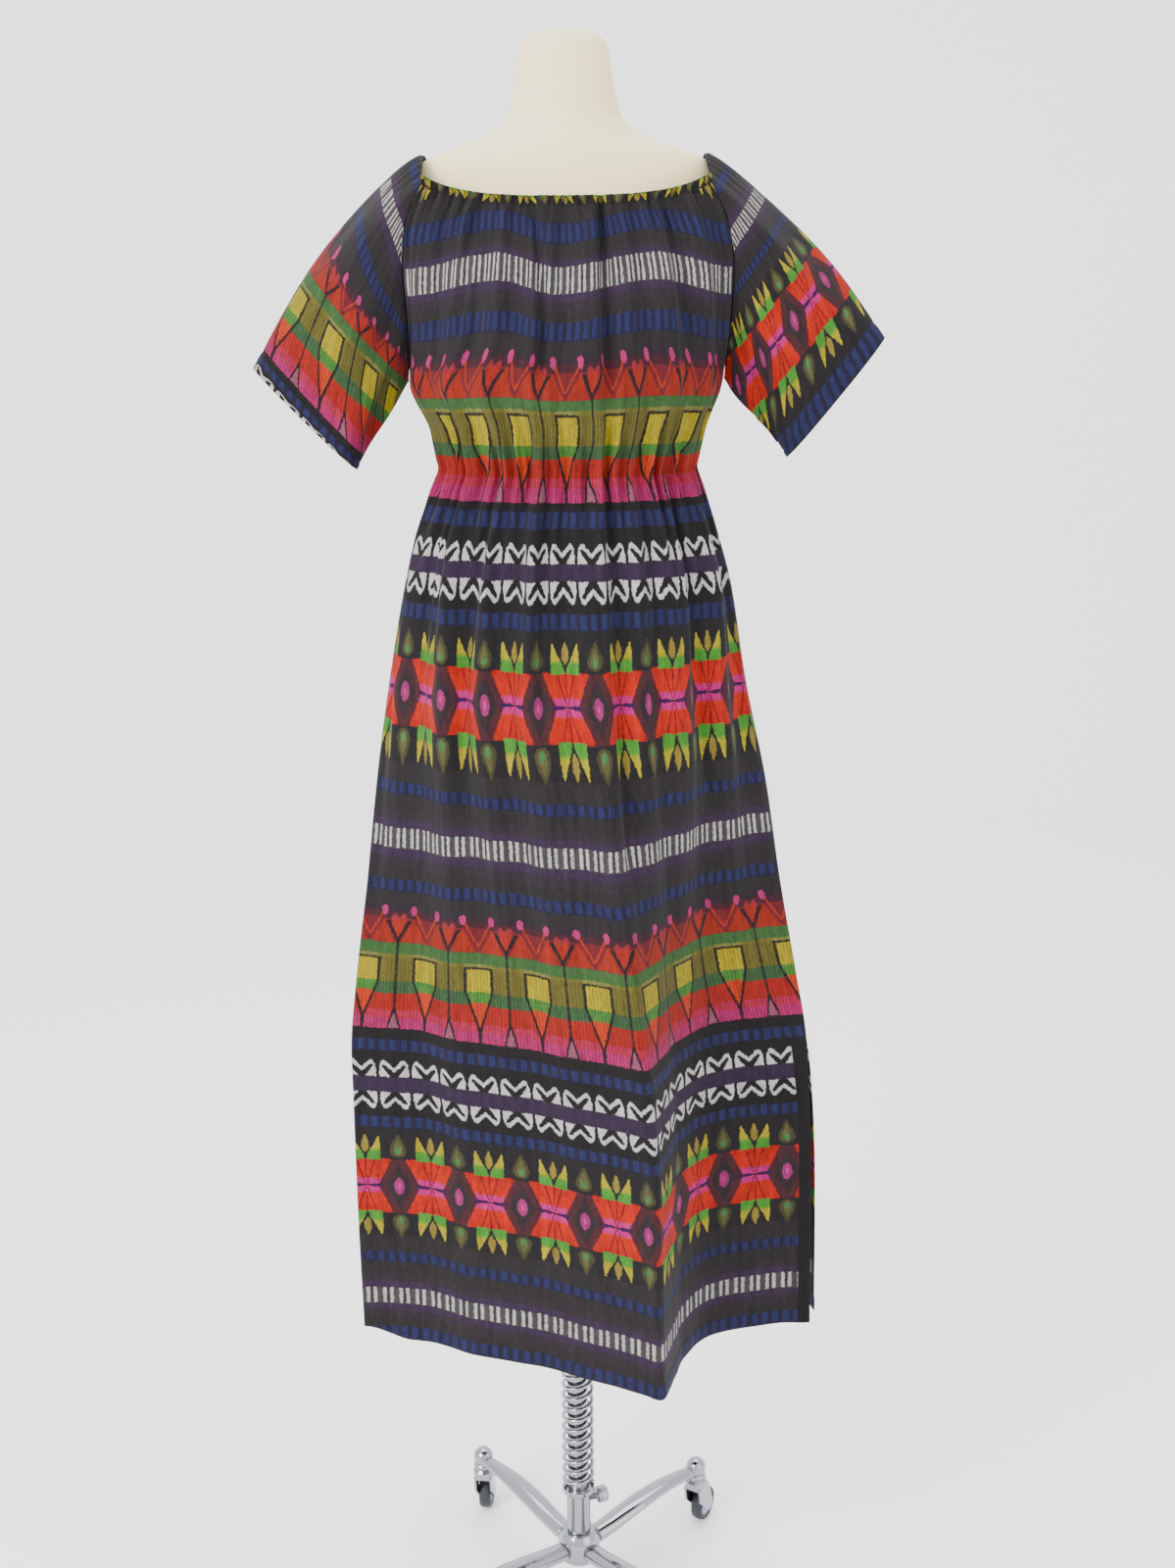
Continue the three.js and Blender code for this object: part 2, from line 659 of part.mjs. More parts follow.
const sleeveBore = TUBE_RADIUS + SEAT_GAP;
const sleeveBottom = HUB_TOP_Z + SEAT_GAP;
addMesh("base_sleeve", turned([[sleeveBore, sleeveBottom], [SLEEVE_TUBE_RADIUS, sleeveBottom],
  [SLEEVE_TUBE_RADIUS, SLEEVE_TUBE_TOP_Z - 2], [COLLAR_RADIUS, SLEEVE_TUBE_TOP_Z + 1],
  [COLLAR_RADIUS, COLLAR_TOP_Z], [sleeveBore, COLLAR_TOP_Z]]), chrome);

// The spring is one round wire wound round the tube, from the collar up to the stop.
function springGeometry() {
  const bottom = COLLAR_TOP_Z + SEAT_GAP + SPRING_WIRE;
  const top = STOP_Z - SEAT_GAP - SPRING_WIRE;
  const steps = SPRING_TURNS * SPRING_STEPS;
  const sides = 4;
  const rings = [];
  for (let i = 0; i <= steps; i += 1) {
    const angle = (2 * Math.PI * i) / SPRING_STEPS;
    const middleZ = THREE.MathUtils.lerp(bottom, top, i / steps);
    const ring = [];
    for (let k = 0; k < sides; k += 1) {
      const round = (2 * Math.PI * k) / sides;
      const radius = SPRING_RADIUS + SPRING_WIRE * Math.cos(round);
      ring.push(new THREE.Vector3(radius * Math.cos(angle), radius * Math.sin(angle),
        middleZ + SPRING_WIRE * Math.sin(round)));
    }
    rings.push(ring);
  }
  const positions = [];
  const triangle = (a, b, c) => positions.push(...a.toArray(), ...b.toArray(), ...c.toArray());
  for (let i = 0; i < steps; i += 1) {
    for (let k = 0; k < sides; k += 1) {
      const n = (k + 1) % sides;
      triangle(rings[i][k], rings[i + 1][k], rings[i + 1][n]);
      triangle(rings[i][k], rings[i + 1][n], rings[i][n]);
    }
  }
  triangle(rings[0][0], rings[0][1], rings[0][2]);
  triangle(rings[0][0], rings[0][2], rings[0][3]);
  triangle(rings[steps][0], rings[steps][2], rings[steps][1]);
  triangle(rings[steps][0], rings[steps][3], rings[steps][2]);
  return facingOut(positions);
}
addMesh("spring", springGeometry(), chrome);

const hubBore = TUBE_RADIUS + SEAT_GAP;
addMesh("hub", turned([[hubBore, HUB_BOTTOM_Z], [HUB_RADIUS - 3, HUB_BOTTOM_Z],
  [HUB_RADIUS, HUB_BOTTOM_Z + 4], [HUB_RADIUS, HUB_TOP_Z - 12], [HUB_RADIUS - 6, HUB_TOP_Z],
  [hubBore, HUB_TOP_Z]]), chrome);

// ---------------------------------------------------------------- manifold-3d helpers
function solidOf(geometry) {
  const bare = geometry.clone();
  bare.deleteAttribute("normal");
  bare.deleteAttribute("uv");
  const merged = mergeVertices(bare, 1e-4);
  return new wasm.Manifold(new wasm.Mesh({
    numProp: 3,
    vertProperties: merged.getAttribute("position").array,
    triVerts: new Uint32Array(merged.index.array),
  }));
}

function geometryOf(solid) {
  const mesh = solid.getMesh();
  const geometry = new THREE.BufferGeometry();
  geometry.setAttribute("position", new THREE.BufferAttribute(mesh.vertProperties, 3));
  geometry.setIndex(new THREE.BufferAttribute(mesh.triVerts, 1));
  geometry.computeVertexNormals();
  return geometry;
}

// ---------------------------------------------------------------- legs and casters
// One curved cast leg along +X: an arch from the hub out to a round socket with a domed knob.
function legGeometry() {
  const sections = [
    // reach, middle z, half width, half height
    [HUB_RADIUS + 0.5, 68, 11, 9],
    [52, 72, 12, 8.5],
    [90, 79, 12.5, 7.5],
    [128, 83, 11, 6.5],
    [160, 82, 9, 6],
    [LEG_REACH, 80, 7, 6],
  ];
  const sides = 8;
  const rings = sections.map(([reach, middleZ, halfWidth, halfHeight]) => {
    const ring = [];
    for (let k = 0; k < sides; k += 1) {
      const angle = (2 * Math.PI * (k + 0.5)) / sides;
      const y = LEG_FULLNESS * halfWidth * Math.cos(angle);
      const z = middleZ + LEG_FULLNESS * halfHeight * Math.sin(angle);
      ring.push(new THREE.Vector3(reach, y, z));
    }
    return ring;
  });
  const positions = [];
  const triangle = (a, b, c) => positions.push(...a.toArray(), ...b.toArray(), ...c.toArray());
  for (let i = 0; i < rings.length - 1; i += 1) {
    for (let k = 0; k < sides; k += 1) {
      const n = (k + 1) % sides;
      triangle(rings[i][k], rings[i + 1][k], rings[i + 1][n]);
      triangle(rings[i][k], rings[i + 1][n], rings[i][n]);
    }
  }
  for (let k = 1; k < sides - 1; k += 1) {
    triangle(rings[0][0], rings[0][k], rings[0][k + 1]);
    triangle(rings[rings.length - 1][0], rings[rings.length - 1][k + 1], rings[rings.length - 1][k]);
  }
  const arm = solidOf(facingOut(positions));
  const knob = turned([[0, LEG_SOCKET_Z], [11, LEG_SOCKET_Z], [12, LEG_SOCKET_Z + 6],
    [12, LEG_KNOB_Z - 10], [9.5, LEG_KNOB_Z - 4], [5, LEG_KNOB_Z - 0.8], [0, LEG_KNOB_Z]], 16);
  knob.translate(LEG_REACH, 0, 0);
  return geometryOf(arm.add(solidOf(knob)));
}

// A caster's yoke: a round head under the socket and two cheeks down to the axle. It is made
// at the swivel axis with its wheel trailing along -X.
const YOKE_TOP = LEG_SOCKET_Z - SEAT_GAP;
function yokeGeometry() {
  const head = turned([[0, YOKE_TOP - 12], [13, YOKE_TOP - 12], [13, YOKE_TOP - 4], [9, YOKE_TOP],
    [0, YOKE_TOP]], 16);
  const cheek = new THREE.Shape();
  cheek.moveTo(10, YOKE_TOP - 12.5);
  cheek.lineTo(-14, YOKE_TOP - 12.5);
  cheek.lineTo(-CASTER_TRAIL - 7, WHEEL_RADIUS + 3);
  cheek.lineTo(-CASTER_TRAIL - 4, WHEEL_RADIUS - 6);
  cheek.lineTo(-CASTER_TRAIL + 5, WHEEL_RADIUS - 6);
  cheek.lineTo(6, WHEEL_RADIUS + 16);
  cheek.closePath();
  const thickness = 2.5;
  const plate = new THREE.ExtrudeGeometry(cheek, { depth: thickness, bevelEnabled: false });
  plate.rotateX(Math.PI / 2);
  const near = plate.clone();
  near.translate(0, -(WHEEL_WIDTH / 2 + 1), 0);
  const far = plate.clone();
  far.translate(0, WHEEL_WIDTH / 2 + 1 + thickness, 0);
  const bridge = new THREE.BoxGeometry(24, WHEEL_WIDTH + 2 + 2 * thickness, 3);
  bridge.translate(-2, 0, YOKE_TOP - 13);
  return geometryOf(solidOf(head).add(solidOf(near)).add(solidOf(far)).add(solidOf(bridge)));
}

// A wheel about the Y axis with a crowned tyre and a hub boss.
function wheelGeometry() {
  const half = WHEEL_WIDTH / 2;
  const wheel = turned([[0, -half - 0.4], [7, -half - 0.4], [8, -half + 1.5], [WHEEL_RADIUS - 4, -half],
    [WHEEL_RADIUS, -half + 4], [WHEEL_RADIUS, half - 4], [WHEEL_RADIUS - 4, half], [8, half - 1.5],
    [7, half + 0.4], [0, half + 0.4]], WHEEL_SIDES);
  wheel.rotateX(Math.PI / 2);
  wheel.rotateY(Math.PI / WHEEL_SIDES); // a flat of the tyre faces down
  return wheel;
}

const LEGS = [
  // name, azimuth on the floor, way that the caster trails
  { name: "back_right", azimuth: 45, trail: 60 },
  { name: "back_left", azimuth: 135, trail: 84 },
  { name: "front_left", azimuth: 225, trail: 215 },
  { name: "front_right", azimuth: 315, trail: 300 },
];
const facetDrop = WHEEL_RADIUS * Math.cos(Math.PI / WHEEL_SIDES);
for (const { name, azimuth, trail } of LEGS) {
  const way = degrees(azimuth + LEG_TURN);
  const leg = addMesh(`leg_${name}`, legGeometry(), chrome);
  leg.rotation.z = way;
  const swivel = new THREE.Vector3(LEG_REACH * Math.cos(way), LEG_REACH * Math.sin(way), 0);
  const yoke = addMesh(`caster_yoke_${name}`, yokeGeometry(), chrome);
  yoke.position.copy(swivel);
  yoke.rotation.z = degrees(trail + 180);
  const wheel = addMesh(`caster_wheel_${name}`, wheelGeometry(), rubber);
  wheel.position.set(
    swivel.x + CASTER_TRAIL * Math.cos(degrees(trail)),
    swivel.y + CASTER_TRAIL * Math.sin(degrees(trail)),
    facetDrop,
  );
  wheel.rotation.z = degrees(trail);
}

// ---------------------------------------------------------------- the height clamp
// A knurled screw whose tip stands just off the lower tube, square to it.
const clamp = addMesh("clamp_screw", turned([[0, 0], [4, 0], [4, 9], [8.5, 9], [9.5, 11], [9.5, 19],
  [8.5, 21], [0, 21]], 16), chrome);
clamp.rotation.y = Math.PI / 2;
const clampPivot = new THREE.Group();
clampPivot.position.set(
  (SLEEVE_TUBE_RADIUS + SEAT_GAP) * Math.cos(degrees(CLAMP_AZIMUTH)),
  (SLEEVE_TUBE_RADIUS + SEAT_GAP) * Math.sin(degrees(CLAMP_AZIMUTH)),
  CLAMP_Z,
);
clampPivot.rotation.z = degrees(CLAMP_AZIMUTH);
clampPivot.add(clamp);
dress_on_form.add(clampPivot);

export default dress_on_form;
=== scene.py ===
"""A gathered handwoven cotton dress on a limbless dress form with a sprung, wheeled stand.

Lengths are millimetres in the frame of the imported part: +Z up, the front facing -Y, the origin on
the floor under the pole. Meshes are turned to metres where they are made.
"""

import logging
import math
from dataclasses import dataclass, field
from enum import Enum

import bmesh
import bpy
import numpy as np
from mathutils import Matrix, Vector


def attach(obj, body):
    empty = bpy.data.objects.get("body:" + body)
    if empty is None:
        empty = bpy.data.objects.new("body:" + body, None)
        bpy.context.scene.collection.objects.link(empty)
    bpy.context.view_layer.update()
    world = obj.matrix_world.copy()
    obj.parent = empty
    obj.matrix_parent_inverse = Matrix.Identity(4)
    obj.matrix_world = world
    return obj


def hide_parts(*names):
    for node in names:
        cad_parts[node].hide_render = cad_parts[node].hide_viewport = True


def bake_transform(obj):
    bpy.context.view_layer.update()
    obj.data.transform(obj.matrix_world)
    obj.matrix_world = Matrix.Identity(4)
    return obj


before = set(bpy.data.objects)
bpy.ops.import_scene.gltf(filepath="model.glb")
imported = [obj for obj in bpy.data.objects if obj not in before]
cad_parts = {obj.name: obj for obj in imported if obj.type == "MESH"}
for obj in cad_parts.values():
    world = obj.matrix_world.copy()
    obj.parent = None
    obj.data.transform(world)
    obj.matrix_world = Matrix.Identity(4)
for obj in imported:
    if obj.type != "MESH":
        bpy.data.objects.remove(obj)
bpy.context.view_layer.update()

LOG = logging.getLogger("dress")
MM = 0.001

Rows = tuple[tuple[float, ...], ...]
Piece = bpy.types.Object
Material = bpy.types.Material
Socket = bpy.types.NodeSocket
Tree = bpy.types.NodeTree


# ------------------------------------------------------------------ curves and tables
def table_value(rows: Rows, column: int, z: np.ndarray) -> np.ndarray:
    """A table's column at heights z, by a monotone cubic that never overshoots its rows.

    The slope at a row is the harmonic mean of the slopes to its two neighbours, or 0 at a turn.

    Args:
        rows: the table, with its heights in the first column, from the highest down.
        column: the column that is read.
        z: heights, of any shape.

    Returns:
        The values, in the shape of z.
    """
    table = np.array(rows, float)[::-1]
    heights, values = table[:, 0], table[:, column]
    steps = np.diff(heights)
    secants = np.diff(values) / steps
    product = secants[:-1] * secants[1:]
    total = np.where(product > 0, secants[:-1] + secants[1:], 1)
    slopes = np.concatenate([secants[:1], np.where(product > 0, 2 * product / total, 0), secants[-1:]])
    z = np.clip(z, heights[0], heights[-1])
    k = np.clip(np.searchsorted(heights, z, side="right") - 1, 0, len(steps) - 1)
    s = (z - heights[k]) / steps[k]
    return (
        (2 * s**3 - 3 * s**2 + 1) * values[k]
        + (s**3 - 2 * s**2 + s) * steps[k] * slopes[k]
        + (3 * s**2 - 2 * s**3) * values[k + 1]
        + (s**3 - s**2) * steps[k] * slopes[k + 1]
    )


def spline_through(points: np.ndarray, count: int) -> np.ndarray:
    """A Catmull-Rom line through points, sampled at even steps of its parameter.

    Args:
        points: the points, one a row.
        count: how many points the line gets.

    Returns:
        An array of count rows.
    """
    last = len(points) - 1
    t = np.linspace(0, last, count)
    k = np.minimum(np.floor(t).astype(int), last - 1)
    w = (t - k)[:, None]
    before = points[np.maximum(k - 1, 0)]
    start, end = points[k], points[k + 1]
    after = points[np.minimum(k + 2, last)]
    v0, v1 = (end - before) / 2, (after - start) / 2
    cubic = 2 * start - 2 * end + v0 + v1
    square = -3 * start + 3 * end - 2 * v0 - v1
    return cubic * w**3 + square * w**2 + v0 * w + start


def even_lines(lines: np.ndarray, count: int) -> np.ndarray:
    """Each of many lines sampled at even steps of its own length.

    All lines are laid end to end on one long axis, so that one interpolation serves them all.

    Args:
        lines: an array (lines, points, axes).
        count: points on each new line.

    Returns:
        An array (lines, count, axes).
    """
    steps = np.linalg.norm(np.diff(lines, axis=1), axis=2)
    along = np.concatenate([np.zeros((len(lines), 1)), np.cumsum(steps, axis=1)], axis=1)
    whole = along[:, -1:]
    base = np.arange(len(lines))[:, None] * (whole.max() + 1)
    wanted = (np.linspace(0, 1, count)[None, :] * whole + base).ravel()
    known = (along + base).ravel()
    axes = [np.interp(wanted, known, lines[:, :, i].ravel()) for i in range(lines.shape[2])]
    return np.stack(axes, axis=1).reshape(len(lines), count, lines.shape[2])


def smooth_step(x: np.ndarray) -> np.ndarray:
    """0 below 0, 1 above 1 and 3x^2 - 2x^3 between."""
    x = np.clip(x, 0, 1)
    return x * x * (3 - 2 * x)


# ------------------------------------------------------------------ meshes
def grid_quads(rows: int, columns: int, around: bool) -> tuple[np.ndarray, np.ndarray, np.ndarray]:
    """The quads of a grid of points.

    Args:
        rows: rows of points.
        columns: points in each row.
        around: whether each row's ends join.

    Returns:
        For each quad's four corners: the vertex, its row, and its column counted past the join.
    """
    across = columns if around else columns - 1
    row, column = np.meshgrid(np.arange(rows - 1), np.arange(across), indexing="ij")
    r = np.stack([row, row + 1, row + 1, row], axis=-1).reshape(-1, 4)
    c = np.stack([column, column, column + 1, column + 1], axis=-1).reshape(-1, 4)
    return r * columns + c % columns, r, c


def mesh_object(name: str, points: np.ndarray, faces: np.ndarray, uv: np.ndarray | None = None) -> Piece:
    """A smooth-shaded object from points in millimetres and quads, at the origin.

    Args:
        name: the piece's name.
        points: one point a row.
        faces: four vertex numbers a row.
        uv: one pair for each corner of each face, or None.

    Returns:
        The object, linked to the scene.
    """
    mesh = bpy.data.meshes.new(name)
    mesh.vertices.add(len(points))
    mesh.vertices.foreach_set("co", (points * MM).astype(np.float32).ravel())
    mesh.loops.add(faces.size)
    mesh.loops.foreach_set("vertex_index", faces.astype(np.int32).ravel())
    mesh.polygons.add(len(faces))
    mesh.polygons.foreach_set("loop_start", np.arange(0, faces.size, 4, dtype=np.int32))
    mesh.polygons.foreach_set("use_smooth", np.ones(len(faces), bool))
    if uv is not None:
        layer = mesh.uv_layers.new(name="cloth")
        layer.data.foreach_set("uv", uv.astype(np.float32).ravel())
    mesh.update(calc_edges=True)
    mesh.validate()
    made = bpy.data.objects.new(name, mesh)
    bpy.context.scene.collection.objects.link(made)
    return made


def sheet_object(name: str, grid: np.ndarray, uv: np.ndarray, around: bool, centre: np.ndarray) -> Piece:
    """One side of a cloth from a grid of points, its faces turned away from a centre.

    Args:
        name: the piece's name.
        grid: points (rows, columns, 3).
        uv: pairs (rows, columns, 2), with one more column where the rows' ends join.
        around: whether each row's ends join.
        centre: what lies inside the cloth, an array that broadcasts to the grid.

    Returns:
        The object.
    """
    faces, r, c = grid_quads(grid.shape[0], grid.shape[1], around)
    flat = grid.reshape(-1, 3)
    a, b, d = flat[faces[:, 0]], flat[faces[:, 1]], flat[faces[:, 3]]
    inside = np.broadcast_to(centre, grid.shape).reshape(-1, 3)[faces[:, 0]]
    if np.sum(np.cross(b - a, d - a) * (a - inside)) < 0:
        faces, r, c = faces[:, ::-1], r[:, ::-1], c[:, ::-1]
    return mesh_object(name, flat, faces, uv[r, c])


def closed_object(name: str, grids: list[np.ndarray]) -> Piece:
    """A closed solid from grids whose rows go round, its doubles merged and its faces turned out.

    Args:
        name: the piece's name.
        grids: arrays (rows, columns, 3), each closed at its first and last row by a point.

    Returns:
        The object.
    """
    points, faces, count = [], [], 0
    for grid in grids:
        quads, _, _ = grid_quads(grid.shape[0], grid.shape[1], True)
        points.append(grid.reshape(-1, 3))
        faces.append(quads + count)
        count += grid.shape[0] * grid.shape[1]
    made = mesh_object(name, np.concatenate(points), np.concatenate(faces))
    work = bmesh.new()
    work.from_mesh(made.data)
    bmesh.ops.remove_doubles(work, verts=work.verts, dist=0.001 * MM)
    bmesh.ops.recalc_face_normals(work, faces=work.faces)
    work.to_mesh(made.data)
    work.free()
    return made


def turned_grid(profile: Rows, sides: int = 96) -> np.ndarray:
    """A profile of (radius, z) pairs carried round the Z axis: rows along the profile.

    Args:
        profile: pairs that start and end on the axis, or that close on themselves.
        sides: points round the axis.

    Returns:
        An array (pairs, sides, 3).
    """
    pairs = np.array(profile, float)
    angle = np.linspace(0, 2 * np.pi, sides, endpoint=False)
    radius, z = pairs[:, :1], pairs[:, 1:]
    return np.stack([radius * np.cos(angle), radius * np.sin(angle), z + 0 * angle], axis=2)


def capped(body: np.ndarray) -> np.ndarray:
    """A grid whose rows go round, with its first and last rows closed by a point."""
    ends = [np.broadcast_to(body[k].mean(axis=0), (1, *body.shape[1:])) for k in (0, -1)]
    return np.concatenate([ends[0], body, ends[1]])


def placed(grid: np.ndarray, turn: float = 0.0, move: tuple[float, float, float] = (0, 0, 0)) -> np.ndarray:
    """Points turned about +Z by an angle in degrees, then moved."""
    c, s = math.cos(math.radians(turn)), math.sin(math.radians(turn))
    matrix = np.array([[c, -s, 0], [s, c, 0], [0, 0, 1]])
    return grid @ matrix.T + np.array(move, float)


def add_wall(piece: Piece, thickness: float) -> None:
    """Gives a one-sided cloth its wall, inwards from its outer face."""
    wall = piece.modifiers.new("wall", "SOLIDIFY")
    wall.thickness = thickness * MM
    wall.offset = -1
    wall.use_even_offset = False


def soften_edges(piece: Piece, width: float) -> None:
    """Rounds a turned or cut piece's sharp edges by a bevel of two steps."""
    bevel = piece.modifiers.new("soft_edges", "BEVEL")
    bevel.width = width * MM
    bevel.segments = 2
    bevel.limit_method = "ANGLE"
    bevel.angle_limit = math.radians(28)
    bevel.harden_normals = True


# ------------------------------------------------------------------ shader tools
def linear(code: str) -> tuple[float, float, float, float]:
    """An sRGB hex colour as linear red, green, blue and alpha."""
    parts = [int(code[i : i + 2], 16) / 255 for i in (1, 3, 5)]
    return (*(p / 12.92 if p <= 0.04045 else ((p + 0.055) / 1.055) ** 2.4 for p in parts), 1.0)


def add_node(tree: Tree, kind: str, settings: dict, links: dict) -> bpy.types.Node:
    """Adds a node.

    Args:
        tree: the node tree.
        kind: the node's type.
        settings: the node's own properties.
        links: for each input, by name or number, a value or an output socket to join it to.

    Returns:
        The node.
    """
    node = tree.nodes.new(kind)
    for name, value in settings.items():
        setattr(node, name, value)
    for name, value in links.items():
        if isinstance(value, Socket):
            tree.links.new(value, node.inputs[name])
        else:
            node.inputs[name].default_value = value
    return node


def fill_ramp(node: bpy.types.Node, stops: list[tuple[float, tuple]], interpolation: str) -> Socket:
    """Puts stops of (place, colour) into a colour ramp, and returns its colour output."""
    ramp = node.color_ramp
    ramp.interpolation = interpolation
    while len(ramp.elements) < len(stops):
        ramp.elements.new(0.5)
    for element, (place, colour) in zip(ramp.elements, stops):
        element.position = place
        element.color = colour
    return node.outputs["Color"]


def stretched(value: Socket, span: tuple[float, float], onto: tuple[float, float]) -> dict:
    """A map range's inputs that take a value from one span onto another."""
    return {"Value": value, "From Min": span[0], "From Max": span[1], "To Min": onto[0], "To Max": onto[1]}


def new_material(name: str) -> tuple[Material, Tree, bpy.types.Node]:
    """A node material, its tree and its Principled shader, already joined to the output."""
    material = bpy.data.materials.new(name)
    material.use_nodes = True
    tree = material.node_tree
    return material, tree, tree.nodes["Principled BSDF"]


# ------------------------------------------------------------------ the woven pattern
REPEAT_ACROSS = 69.4  # one whole motif of the loom, across the cloth
REPEAT_DOWN = 518.0  # all the bands, down the cloth
FLOWER_LINE = 441.0  # middle of the flower band, down the cloth
HEART_LINE = 325.0  # middle between the two rows of hearts
HEART_GAP = 9.0  # from there to a row
REACH = 40.0  # the widest that a motif's limits run
EDGE = 1.1  # how soft a woven edge is
CLOSED = (REACH - 2, -1.0)  # an inner limit past the outer one, where a motif shows nothing
BAND_EDGE = 0.1  # how soon a band of motifs closes
MOTIF_EDGE = 0.6  # how soon a single motif does


class Axis(Enum):
    """A distance on the cloth that a motif's outline is drawn by."""

    FLOWER = "from the middle of a flower, across"
    BUD = "from the middle between two flowers, across"
    HEART = "from the middle of a pair of hearts, across"
    BAR = "from the middle of a pair of bars, across"
    DASH = "from the middle of a dash, across"
    STRIPE = "from the middle of a fine stripe, across"
    DOWN = "down the cloth, within the repeat"
    FROM_FLOWER = "from the flower line, up or down"
    FROM_HEARTS = "from a row of hearts' foot, up or down"


@dataclass(frozen=True)
class Motif:
    """A woven shape: cloth whose distance on one axis lies between two limits along another.

    Fields:
        across: the axis that the limits are on.
        along: the axis that they change along.
        limits: rows of (along, inner limit, outer limit); -1 as an inner limit is the axis itself.
        colours: one colour, or pairs of (along, colour).
        strength: how much of the colour shows.
    """

    across: Axis
    along: Axis
    limits: Rows
    colours: str | tuple[tuple[float, str], ...]
    strength: float = 1.0


def banded(bands: tuple[tuple[float, float], ...], inner: float, outer: float) -> Rows:
    """Limits that hold inside each of several bands, and are closed between them."""
    rows: list[tuple[float, float, float]] = []
    for start, end in bands:
        rows += [(start - BAND_EDGE, *CLOSED), (start, inner, outer)]
        rows += [(end, inner, outer), (end + BAND_EDGE, *CLOSED)]
    return tuple(rows)


